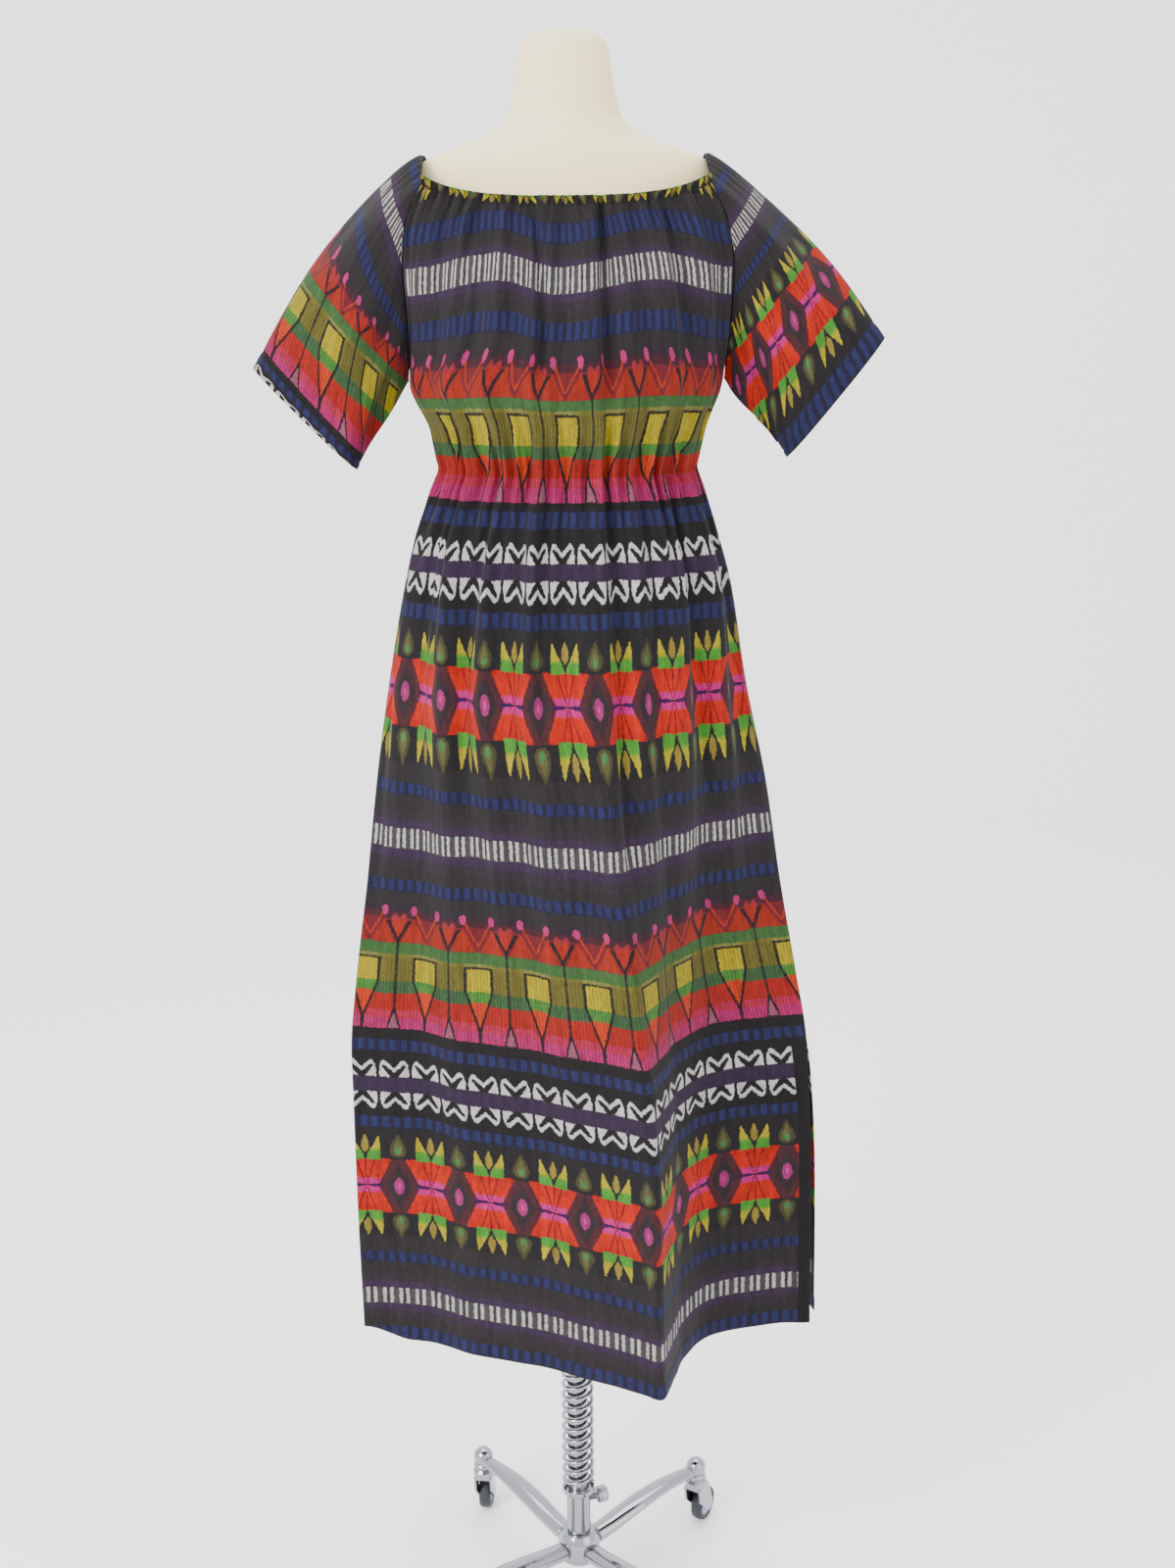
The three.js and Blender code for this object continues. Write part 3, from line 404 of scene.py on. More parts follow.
@dataclass(frozen=True)
class LoomPattern:
    """The bands of the cloth and the motifs that are woven into them, in cloth millimetres."""

    bands: tuple[tuple[float, str], ...] = (
        (0, "#221D34"), (12, "#2C2829"), (27, "#30292F"), (35, "#38283F"), (43, "#474343"), (63, "#38283F"),
        (72, "#30292F"), (82, "#2C2829"), (96, "#221D34"), (109, "#2C2829"), (124, "#30232A"),
        (130, "#441F28"), (137, "#6E2026"),
        (163, "#3D6031"), (176, "#6A6326"), (206, "#3B5C37"), (220, "#AA2217"), (240, "#B42446"),
        (249, "#B02464"), (262, "#201C1D"), (274, "#221D34"), (287, "#201C1D"), (316, "#33253B"),
        (334, "#201C1D"), (361, "#221D34"), (374, "#242122"), (410, "#4A2429"), (472, "#242122"),
        (498, "#2C2829"),
    )
    motifs: tuple[Motif, ...] = (
        # blue dashes and pairs of white bars
        Motif(Axis.DASH, Axis.DOWN,
              banded(((0, 12), (96, 109), (274, 287), (361, 374)), -1, 3.3), "#272C56", 0.9),
        Motif(Axis.BAR, Axis.DOWN, banded(((43, 63),), -1, 1.9), "#393537"),
        Motif(Axis.BAR, Axis.DOWN, banded(((43, 63),), 1.9, 5.4), "#BAB6B2"),
        # blossoms, triangles and cups
        Motif(Axis.FLOWER, Axis.DOWN, ((131, 14.8, 17.4), (157, -1, 1.6)), "#A83018"),
        Motif(Axis.FLOWER, Axis.DOWN, ((139, 17.4, 19.4), (163, 2, 31)), "#982817"),
        Motif(Axis.FLOWER, Axis.DOWN,
              ((124, 16.4, 18.8), (126.5, 13.8, 21.4), (131, 13.8, 21.4), (134.5, 16.4, 18.8)), "#B02C6C"),
        Motif(Axis.BUD, Axis.DOWN,
              ((133, 4.2, 6.4), (135.5, 1.4, 8.4), (138, -1, 8.8), (150, -1, 4.6), (158, -1, 0.8)),
              ((133, "#8A2838"), (137, "#902830"), (141, "#9E271C"), (158, "#9E271C"))),
        Motif(Axis.BUD, Axis.DOWN, ((140, 10, 15), (157, 0.6, 4), (159, -1, 2.6), (163, -1, 1.5)), "#221C1C"),
        # houses: a yellow square in a frame that runs down to a point
        Motif(Axis.FLOWER, Axis.DOWN, ((176, -1, 16), (179.5, -1, 16)), "#77753A"),
        Motif(Axis.FLOWER, Axis.DOWN, ((182, -1, 13.6), (206, -1, 13.6)), "#B19F18"),
        Motif(Axis.FLOWER, Axis.DOWN, ((206, -1, 15.5), (218, -1, 11.5)), "#498132"),
        Motif(Axis.FLOWER, Axis.DOWN, ((218, -1, 11.5), (245, -1, 1)), "#CC3A14"),
        Motif(Axis.STRIPE, Axis.DOWN, ((179.5, 1.05, 1.8), (262, 1.05, 1.8)), "#221C1C", 0.5),
        Motif(Axis.FLOWER, Axis.DOWN, ((179.5, -1, 16.4), (181.8, -1, 16.4)), "#221C1C", 0.85),
        Motif(Axis.FLOWER, Axis.DOWN, ((179.5, 13.8, 16.6), (206, 13.8, 16.6), (249, -1, 2), (262, -1, 1.4)),
              "#221C1C"),
        Motif(Axis.BUD, Axis.DOWN, ((163, -1, 1.1), (236, -1, 1.1), (262, -1, 8)), "#221C1C"),
        Motif(Axis.BUD, Axis.DOWN, ((243, -1, 0.3), (261, -1, 5.6)), "#8E4E62"),
        # two rows of hearts: a white arch over a triangle, parted by a dark slanting line
        Motif(Axis.FROM_HEARTS, Axis.HEART,
              ((0, 0, 9.3), (5, 0, 14), (8, 0, 17.2), (10.3, 0, 18.4), (12.5, 0, 17.4), (14.6, 0, 13.4),
               (15.6, 0, 8)), "#C9C5C2"),
        Motif(Axis.FROM_HEARTS, Axis.HEART,
              ((0, -1, 4.8), (4, -0.6, 8.4), (8, 4.6, 12), (11, 9, 13.6), (12.6, 11.6, 13)), "#201C1D"),
        # flowers, with buds between them
        Motif(Axis.BUD, Axis.FROM_FLOWER, ((0, -1, 14), (26, -1, 0.3)), "#32272B"),
        Motif(Axis.BUD, Axis.FROM_FLOWER,
              ((0, -1, 5.6), (4, -1, 5), (7.5, -1, 3.4), (10, -1, 0.4)), "#9A2E68"),
        Motif(Axis.BUD, Axis.FROM_FLOWER, ((0, -1, 1.6), (4, -1, 0.4)), "#C0408C"),
        Motif(Axis.FLOWER, Axis.FROM_FLOWER, ((1, -1, 13), (28.5, -1, 26.5), (31, -1, 26.5)),
              ((0, "#C02078"), (6.5, "#C02078"), (9.5, "#C6250A"), (20, "#C2230A"), (31, "#B21C0E"))),
        Motif(Axis.FLOWER, Axis.FROM_FLOWER, ((0, 3.5, 17.5), (1.7, 3.5, 17.5)), "#3A1648"),
        Motif(Axis.FLOWER, Axis.FROM_FLOWER, ((2, 0.2, 1.5), (31, 9.2, 11)), "#5C1218", 0.85),
        Motif(Axis.FLOWER, Axis.FROM_FLOWER, ((8, -1, 0.5), (31, -1, 1)), "#5C1218", 0.85),
        Motif(Axis.FLOWER, Axis.FROM_FLOWER, ((29.5, 0.8, 16), (37, 2.6, 16), (47, 9, 16), (57, 13.8, 14.8)),
              ((29, "#448A2E"), (39, "#4A8E2E"), (43, "#AC9E1C"), (57, "#B4A424"))),
        Motif(Axis.FLOWER, Axis.FROM_FLOWER,
              ((38, -1, 0.5), (43, -1, 3.9), (50, -1, 3.7), (58, -1, 0.5)), "#8C7A30"),
        Motif(Axis.BUD, Axis.FROM_FLOWER,
              ((33, -1, 3), (36, -1, 7), (40, -1, 9), (47, -1, 7.2), (60, -1, 0.3)), "#45432B"),
        Motif(Axis.BUD, Axis.FROM_FLOWER,
              ((35, -1, 1), (38, -1, 4.6), (44, -1, 4.4), (54, -1, 0.4)), "#5C5A34"),
        Motif(Axis.BUD, Axis.FROM_FLOWER,
              ((36, -1, 0.4), (38, -1, 2.4), (40, -1, 2.8), (42, -1, 2.2), (44, -1, 0.4)), "#3E7A45"),
    )
    bar_pitch: float = REPEAT_ACROSS / 4
    dash_pitch: float = REPEAT_ACROSS / 6
    stripe_pitch: float = REPEAT_ACROSS / 18

    def axes(self, tree: Tree, across: Socket, down: Socket) -> dict:
        """Adds the nodes that work out every axis, in millimetres.

        Args:
            tree: the node tree.
            across: the distance across the cloth from the middle of a flower.
            down: the distance down the cloth.

        Returns:
            For each Axis, the socket that carries it.
        """
        halves = {
            Axis.FLOWER: REPEAT_ACROSS / 2,
            Axis.HEART: REPEAT_ACROSS / 4,
            Axis.BAR: self.bar_pitch / 2,
            Axis.DASH: self.dash_pitch / 2,
            Axis.STRIPE: self.stripe_pitch / 2,
        }
        found = {
            axis: add_node(tree, "ShaderNodeMath", {"operation": "PINGPONG"}, {0: across, 1: half}).outputs[0]
            for axis, half in halves.items()
        }
        between = {0: REPEAT_ACROSS / 2, 1: found[Axis.FLOWER]}
        found[Axis.BUD] = add_node(tree, "ShaderNodeMath", {"operation": "SUBTRACT"}, between).outputs[0]
        found[Axis.DOWN] = add_node(
            tree, "ShaderNodeMath", {"operation": "FLOORED_MODULO"}, {0: down, 1: REPEAT_DOWN}
        ).outputs[0]
        for axis, line, gap in (
            (Axis.FROM_FLOWER, FLOWER_LINE, 0.0),
            (Axis.FROM_HEARTS, HEART_LINE, HEART_GAP),
        ):
            value = found[Axis.DOWN]
            for step, inputs in (("SUBTRACT", {1: line}), ("ABSOLUTE", {}), ("SUBTRACT", {1: gap})):
                value = add_node(tree, "ShaderNodeMath", {"operation": step}, {0: value, **inputs}).outputs[0]
            found[axis] = value
        return found

    def ground(self, tree: Tree, down: Socket) -> Socket:
        """Adds the plain bands, in two ramps so that each stays sharp, and returns their colour."""
        half = REPEAT_DOWN / 2
        halves = []
        for start in (0.0, half):
            before = [colour for place, colour in self.bands if place <= start][-1]
            rows = [(start, before)] + [(p, c) for p, c in self.bands if start < p < start + half]
            place = add_node(
                tree, "ShaderNodeMapRange", {}, {"Value": down, "From Min": start, "From Max": start + half}
            ).outputs[0]
            ramp = add_node(tree, "ShaderNodeValToRGB", {}, {"Fac": place})
            stops = [((p - start) / half, linear(c)) for p, c in rows]
            halves.append(fill_ramp(ramp, stops, "CONSTANT"))
        lower = add_node(tree, "ShaderNodeMath", {"operation": "GREATER_THAN"}, {0: down, 1: half}).outputs[0]
        mixed = add_node(tree, "ShaderNodeMix", {"data_type": "RGBA"}, {0: lower, 6: halves[0], 7: halves[1]})
        return mixed.outputs[2]

    def colour(self, tree: Tree, axes: dict) -> Socket:
        """Adds the bands and every motif over them, and returns the cloth's colour.

        A motif's ramp holds its inner limit in red and its outer one in green, both moved up by
        1 mm and divided by REACH. Its mask is the smaller of the two distances to them.
        """
        colour = self.ground(tree, axes[Axis.DOWN])
        scaled = {}
        for motif in self.motifs:
            if motif.across not in scaled:
                scaled[motif.across] = add_node(
                    tree, "ShaderNodeMath", {"operation": "MULTIPLY_ADD"},
                    {0: axes[motif.across], 1: 1 / REACH, 2: 1 / REACH},
                ).outputs[0]
            across = scaled[motif.across]
            low, high = motif.limits[0][0] - MOTIF_EDGE, motif.limits[-1][0] + MOTIF_EDGE
            along = {"Value": axes[motif.along], "From Min": low, "From Max": high}
            place = add_node(tree, "ShaderNodeMapRange", {}, along).outputs[0]
            rows = [(low, *CLOSED), *motif.limits, (high, *CLOSED)]
            stops = [
                ((a - low) / (high - low), ((i + 1) / REACH, (o + 1) / REACH, 0, 1))
                for a, i, o in rows
            ]
            ramp = add_node(tree, "ShaderNodeValToRGB", {}, {"Fac": place})
            limits = fill_ramp(ramp, stops, "LINEAR")
            inner, outer, _ = add_node(tree, "ShaderNodeSeparateColor", {}, {"Color": limits}).outputs
            past_inner, to_outer = (
                add_node(tree, "ShaderNodeMath", {"operation": "SUBTRACT"}, {0: a, 1: b}).outputs[0]
                for a, b in ((across, inner), (outer, across))
            )
            inside = add_node(
                tree, "ShaderNodeMath", {"operation": "MINIMUM"}, {0: past_inner, 1: to_outer}
            ).outputs[0]
            mask = add_node(
                tree, "ShaderNodeMapRange", {},
                {"Value": inside, "From Min": -EDGE / REACH / 2, "From Max": EDGE / REACH / 2,
                 "To Max": motif.strength},
            ).outputs[0]
            if isinstance(motif.colours, str):
                own = linear(motif.colours)
            else:
                shades = add_node(tree, "ShaderNodeValToRGB", {}, {"Fac": place})
                own = fill_ramp(
                    shades, [((a - low) / (high - low), linear(c)) for a, c in motif.colours], "LINEAR"
                )
            colour = add_node(
                tree, "ShaderNodeMix", {"data_type": "RGBA"}, {0: mask, 6: colour, 7: own}
            ).outputs[2]
        return colour


# ------------------------------------------------------------------ finishes
NOISE_SPAN = (0.3, 0.7)  # where nearly all of a noise's values lie


@dataclass(frozen=True)
class HandloomedCotton:
    """Treadle-loomed cotton, dyed in the yarn: matt, with threads that show as fine upright lines.

    The warp is thicker than the weft and a little uneven, so bands have slightly ragged edges.
    The light catches its fuzz, which is the sheen. Upright swathes of painted shade copy the gathers' shade.
    """

    flower_at: float = 79.5  # where the first flower's middle lies across the cloth
    thread: float = 1.0  # drawn about twice as coarse as the real warp, so that it shows
    slub: float = 9.0  # how long an uneven stretch of a thread is
    shade_streak_width: float = 7.0  # how wide a swathe of painted shade and light is, darker and paler, standing in for the gathers' shade
    ragged: float = 1.5  # how far a band's edge strays
    tuft: float = 3.2  # how long each stray is
    strip_from: float = 543.0  # where the charcoal strip along the right slit's edge starts across the cloth
    slit_from: float = 812.0  # and down it
    strip_colour: str = "#1E1B1C"
    lit: tuple[float, float] = (0.27, 0.68)  # share of the colour on the darkest and the palest thread, the painted shade swathes included
    name: str = "handloomed_cotton"
    pattern: LoomPattern = field(default_factory=LoomPattern)

    def material(self) -> Material:
        """Makes the cotton's material, on the UV map in cloth millimetres."""
        material, tree, shader = new_material(self.name)
        place = add_node(tree, "ShaderNodeUVMap", {"uv_map": "cloth"}, {}).outputs["UV"]
        stray = add_node(
            tree, "ShaderNodeTexNoise", {"noise_dimensions": "2D"},
            {"Vector": place, "Scale": 1 / self.tuft, "Detail": 2.0, "Roughness": 0.6},
        ).outputs["Color"]
        strayed = add_node(
            tree, "ShaderNodeVectorMath", {"operation": "MULTIPLY_ADD"},
            {0: stray, 1: (2 * self.ragged, 2 * self.ragged, 0), 2: place},
        ).outputs[0]
        parts = add_node(tree, "ShaderNodeSeparateXYZ", {}, {0: strayed})
        across = add_node(
            tree, "ShaderNodeMath", {"operation": "SUBTRACT"},
            {0: parts.outputs[0], 1: self.flower_at + self.ragged},
        ).outputs[0]
        down = add_node(
            tree, "ShaderNodeMath", {"operation": "SUBTRACT"}, {0: parts.outputs[1], 1: self.ragged}
        ).outputs[0]
        colour = self.pattern.colour(tree, self.pattern.axes(tree, across, down))
        colour = self.slit_edge_strip(tree, place, colour)
        # the thread noise also carries the painted shade swathes, into the colour and into the bump
        threads = self.threads(tree, place)
        lit = add_node(tree, "ShaderNodeMapRange", {}, stretched(threads, NOISE_SPAN, self.lit)).outputs[0]
        scaled = {0: colour, "Scale": lit}
        woven = add_node(tree, "ShaderNodeVectorMath", {"operation": "SCALE"}, scaled).outputs[0]
        relief = add_node(
            tree, "ShaderNodeBump", {}, {"Height": threads, "Strength": 0.35, "Distance": 0.4 * MM}
        ).outputs[0]
        tree.links.new(woven, shader.inputs["Base Color"])
        tree.links.new(relief, shader.inputs["Normal"])
        shader.inputs["Roughness"].default_value = 0.86
        shader.inputs["Specular IOR Level"].default_value = 0.12
        shader.inputs["Sheen Weight"].default_value = 0.03
        shader.inputs["Sheen Roughness"].default_value = 0.5
        return material

    def slit_edge_strip(self, tree: Tree, place: Socket, colour: Socket) -> Socket:
        """Lays a charcoal strip, along the right slit's edge, over the cloth that is past both of the slit's
        limits.
        """
        parts = add_node(tree, "ShaderNodeSeparateXYZ", {}, {0: place})
        past = [
            add_node(tree, "ShaderNodeMath", {"operation": "GREATER_THAN"}, {0: part, 1: limit}).outputs[0]
            for part, limit in zip(parts.outputs, (self.strip_from, self.slit_from))
        ]
        both = {0: past[0], 1: past[1]}
        inside = add_node(tree, "ShaderNodeMath", {"operation": "MULTIPLY"}, both).outputs[0]
        mixed = {0: inside, 6: colour, 7: linear(self.strip_colour)}
        return add_node(tree, "ShaderNodeMix", {"data_type": "RGBA"}, mixed).outputs[2]

    def threads(self, tree: Tree, place: Socket) -> Socket:
        """Noise drawn out down the cloth as slubs, with noise across it for the weft, and wide upright
        swathes of painted shade for the gathers.
        """
        warp, weft, shade_streaks = (
            add_node(
                tree, "ShaderNodeTexNoise", {"noise_dimensions": "2D"},
                {
                    "Vector": add_node(
                        tree, "ShaderNodeMapping", {}, {"Vector": place, "Scale": (1 / wide, 1 / tall, 1)}
                    ).outputs[0],
                    "Scale": 1.0,
                    "Detail": detail,
                },
            ).outputs[0]
            for wide, tall, detail in (
                (self.thread, self.slub, 2.0),
                (self.slub, self.thread, 1.0),
                (self.shade_streak_width, 10 * self.shade_streak_width, 3.0),
            )
        )
        value = warp
        # the wide noise is painted shade and light: upright swathes, darker and paler, that stand in for the
        # shade between the gathers
        for share, other in ((0.3, weft), (0.35, shade_streaks)):
            mixed = {0: share, 2: value, 3: other}
            value = add_node(tree, "ShaderNodeMix", {"data_type": "FLOAT"}, mixed).outputs[0]
        return value


@dataclass(frozen=True)
class LinenCover:
    """Linen stretched over a padded form: warm off-white, matt, with a fine even weave."""

    colour: str = "#E8DAA8"
    thread: float = 1.6  # three times the real thread, so that it shows
    patch_scale: float = 9.0  # of the faint patches where the cover is rubbed or faded
    lit: tuple[float, float] = (0.94, 1.04)
    name: str = "stretched_linen"

    def material(self) -> Material:
        """Makes the linen's material, on Object coordinates."""
        material, tree, shader = new_material(self.name)
        place = add_node(tree, "ShaderNodeTexCoord", {}, {}).outputs["Object"]
        weave, patches = (
            add_node(
                tree, "ShaderNodeTexNoise", {}, {"Vector": place, "Scale": scale, "Detail": 2.0}
            ).outputs[0]
            for scale in (1 / (self.thread * MM), self.patch_scale)
        )
        mixed = {0: 0.4, 2: weave, 3: patches}
        both = add_node(tree, "ShaderNodeMix", {"data_type": "FLOAT"}, mixed).outputs[0]
        light = add_node(tree, "ShaderNodeMapRange", {}, stretched(both, NOISE_SPAN, self.lit)).outputs[0]
        scaled = {0: linear(self.colour)[:3], "Scale": light}
        base = add_node(tree, "ShaderNodeVectorMath", {"operation": "SCALE"}, scaled).outputs[0]
        relief = add_node(
            tree, "ShaderNodeBump", {}, {"Height": weave, "Strength": 0.12, "Distance": 0.3 * MM}
        ).outputs[0]
        tree.links.new(base, shader.inputs["Base Color"])
        tree.links.new(relief, shader.inputs["Normal"])
        shader.inputs["Roughness"].default_value = 0.9
        shader.inputs["Sheen Weight"].default_value = 0.1
        return material


@dataclass(frozen=True)
class HardFinish:
    """A hard, even surface whose gloss is broken by fine noise.

    Fields:
        name, colour: the material's name and colour.
        grain: the noise's scale and detail.
        span: the stretch of the noise's values that is used.
        rough: the roughness at that stretch's two ends.
        metallic: 1 for a metal.
        ior: the refractive index, where it isn't the shader's own.
        relief: how strongly the noise stands as bumps 0.2 mm high.
    """

    name: str
    colour: str
    grain: tuple[float, float]
    span: tuple[float, float]
    rough: tuple[float, float]
    metallic: float = 0.0
    ior: float | None = None
    relief: float = 0.0

    def material(self) -> Material:
        """Makes the material, on Object coordinates."""
        material, tree, shader = new_material(self.name)
        place = add_node(tree, "ShaderNodeTexCoord", {}, {}).outputs["Object"]
        scale, detail = self.grain
        grain = add_node(
            tree, "ShaderNodeTexNoise", {}, {"Vector": place, "Scale": scale, "Detail": detail}
        ).outputs[0]
        rough = add_node(tree, "ShaderNodeMapRange", {}, stretched(grain, self.span, self.rough)).outputs[0]
        tree.links.new(rough, shader.inputs["Roughness"])
        if self.relief:
            raised = {"Height": grain, "Strength": self.relief, "Distance": 0.2 * MM}
            relief = add_node(tree, "ShaderNodeBump", {}, raised).outputs[0]
            tree.links.new(relief, shader.inputs["Normal"])
        shader.inputs["Base Color"].default_value = linear(self.colour)
        shader.inputs["Metallic"].default_value = self.metallic
        if self.ior:
            shader.inputs["IOR"].default_value = self.ior
        return material


# Bright chrome over cast or drawn steel: a mirror with faint haze and fine polishing marks.
CHROME_PLATE = HardFinish("chrome_plate", "#98999D", (60.0, 4.0), (0.35, 0.7), (0.07, 0.2), metallic=1.0)
# A moulded tyre: near black, satin, with dust in its pores.
MOULDED_RUBBER = HardFinish("moulded_rubber", "#1D1E22", (700.0, 3.0), NOISE_SPAN, (0.4, 0.62), relief=0.2)
# A moulded wheel centre: blue-grey, smooth, with a soft gloss.
MOULDED_NYLON = HardFinish("moulded_nylon", "#8C9AB4", (90.0, 3.0), NOISE_SPAN, (0.24, 0.38), ior=1.53)


@dataclass(frozen=True)
class PaleFloor:
    """A matt painted floor, pale and plain."""

    colour: str = "#FAFAFB"
    name: str = "matt_floor_paint"

    def material(self) -> Material:
        """Makes the floor's material."""
        material, _, shader = new_material(self.name)
        shader.inputs["Base Color"].default_value = linear(self.colour)
        shader.inputs["Roughness"].default_value = 0.8
        return material


# ------------------------------------------------------------------ the dress's measurements
HEM_Z = 388.0
WAIST_Z = 1315.0
UNDERARM_Z = 1398.0
NECK_CORNER_Z = 1576.0
SLIT_LEFT_Z = 768.0
SLIT_RIGHT_Z = 716.0
SLIT_OPENING = 9.0
SEAM_GAP = 0.4
WALL = 1.2
LOOM_WIDTH = 576.0
ELASTIC_HALF, ELASTIC_PINCH = 7.0, 1.6  # half the waist elastic's height, and how far it draws in
HEM_TURN, HEM_PROUD, STITCH_DEPTH = 19.0, 0.6, 0.5  # height of the turned hem, its relief and its stitches'
SEWN_SHARE = 0.035  # how far from a seam its stitches hold the gathers flat, as a share of the width
BUST_CRESTS = (-150, -61, -6, 84, 157)  # x where the bands dip and rise in turn over the bust
BUST_RIDE = 6.5  # by how much they do
LEFT_SAG = 5.0  # how far the bands hang on the left of the skirt

# Where the panels' edges run: z, left, right, front_left, front_right, back_left, back_right.
EDGE_SECTIONS: Rows = (
    (1600, 118, 122, -76, -76, 62, 62),
    (1576, 131, 135, -76, -76, 62, 62),
    (1540, 147, 151, -72, -72, 56, 56),
    (1500, 151, 157, -63, -63, 44, 44),
    (1450, 150, 156, -45, -45, 22, 22),
    (1398, 153, 152, -14, -14, -14, -14),
    (1350, 131, 135, -12, -12, -12, -12),
    (1315, 124.5, 128.5, -10, -10, -10, -10),
    (1290, 133, 135, -10, -10, -10, -10),
    (1250, 148, 147, -13, -13, -13, -13),
    (1200, 161, 161, -17, -16, -17, -16),
    (1100, 181, 178, -28, -24, -28, -24),
    (1000, 197, 199, -46, -34, -46, -34),
    (900, 209, 214, -58, -41, -58, -41),
    (800, 223, 232, -65, -45, -65, -45),
    (716, 231, 246, -69, -46, -68, -46),
    (560, 231, 254, -71, -47, -64, -40),
    (388, 229, 256, -72, -47, -56, -32),
)
EDGE_LEFT, EDGE_RIGHT = 1, 2
# How a panel bows: z, half the angle of its bow, how far its folds have taken over.
BOWS: Rows = (
    (1576, 58, 0), (1450, 62, 0), (1398, 82, 0), (1350, 84, 0), (1250, 84, 0),
    (1160, 84, 0.1), (1060, 84, 0.3), (960, 84, 0.55), (800, 84, 0.86), (640, 84, 1),
)
# Where the loom's bands lie on the dress: height, distance down the cloth.
BAND_HEIGHTS: Rows = (
    (1640, -93), (1547, 0), (1528, 12), (1509, 43), (1484, 63), (1459, 96), (1440, 109), (1427, 124),
    (1415, 134), (1385, 163), (1375, 176), (1341, 206), (1329, 220), (1306, 246), (1288, 262), (1281, 274),
    (1265, 287), (1252, 297), (1233, 316), (1217, 334), (1198, 350), (1188, 361), (1172, 374), (1160, 384),
    (1133, 410), (1067, 472), (1031, 498), (1010, 518), (440, 1089), (404, 1132), (388, 1146),
)


@dataclass(frozen=True)
class Pleats:
    """A set of soft waves side by side across a panel.

    Fields:
        count: waves across the panel.
        depths: rows of (height, half depth).
        stray: how far a wave strays from its even place, in waves.
        phase: where the first wave starts.
    """

    count: float
    depths: Rows
    stray: float
    phase: float

    def lift(self, share: np.ndarray, z: np.ndarray) -> np.ndarray:
        """How far out the cloth lies: a cosine whose steps and depths differ from wave to wave."""
        way = self.count * share + self.phase
        way = way + self.stray * (np.sin(2.1 * way + self.phase) + 0.6 * np.sin(0.9 * way + 2.7 * self.phase))
        depth = table_value(self.depths, 1, z)
        uneven = 1 + 0.28 * np.sin(1.7 * way + 1.3) + 0.2 * np.sin(0.63 * way + self.phase)
        return depth * uneven * np.cos(2 * np.pi * way)


@dataclass(frozen=True)
class Crease:
    """A soft trough or ridge that runs down the cloth between two points.

    Fields:
        start, end: (share of the width, height) of its two ends.
        width: across it, in shares of the width.
        depth: how far it lies in, or out where it is negative.
        bend: how far its middle strays sideways, in shares of the width.
    """

    start: tuple[float, float]
    end: tuple[float, float]
    width: float
    depth: float
    bend: float = 0.0

    def lift(self, share: np.ndarray, z: np.ndarray) -> np.ndarray:
        """A bell across the line from start to end, fading out over its ends."""
        along = (z - self.start[1]) / (self.end[1] - self.start[1])
        inside = np.clip(along, 0, 1)
        line = self.start[0] + (self.end[0] - self.start[0]) * inside + self.bend * np.sin(np.pi * inside)
        bell = np.exp(-(((share - line) / self.width) ** 2))
        fade = smooth_step((along + 0.12) / 0.3) * smooth_step((1.12 - along) / 0.3)
        return -self.depth * bell * fade


WIDE_DEPTHS: Rows = (
    (1576, 1.2), (1540, 3.0), (1500, 4.2), (1450, 3.8), (1398, 2.8), (1350, 2.6), (1315, 1.4), (1290, 2.8),
    (1240, 4.6), (1180, 5.0), (1100, 4.6), (1000, 3.6), (900, 2.4), (800, 1.4), (700, 0.8), (388, 0.5),
)
NARROW_DEPTHS: Rows = (
    (1576, 2.0), (1545, 1.7), (1510, 0.8), (1450, 0.4), (1398, 0.8), (1355, 2.6), (1328, 4.4), (1304, 4.6),
    (1285, 4.0), (1250, 2.7), (1200, 1.6), (1120, 0.8), (1000, 0.25), (900, 0.1), (388, 0.1),
)
FINE_DEPTHS: Rows = (
    (1576, 1.3), (1562, 0.9), (1540, 0.25), (1500, 0.0), (1360, 0.0), (1338, 0.8), (1322, 1.6), (1308, 1.7),
    (1294, 1.1), (1262, 0.0), (388, 0.0),
)


class Side(Enum):
    """Which way a panel faces."""

    FRONT = -1
    BACK = 1


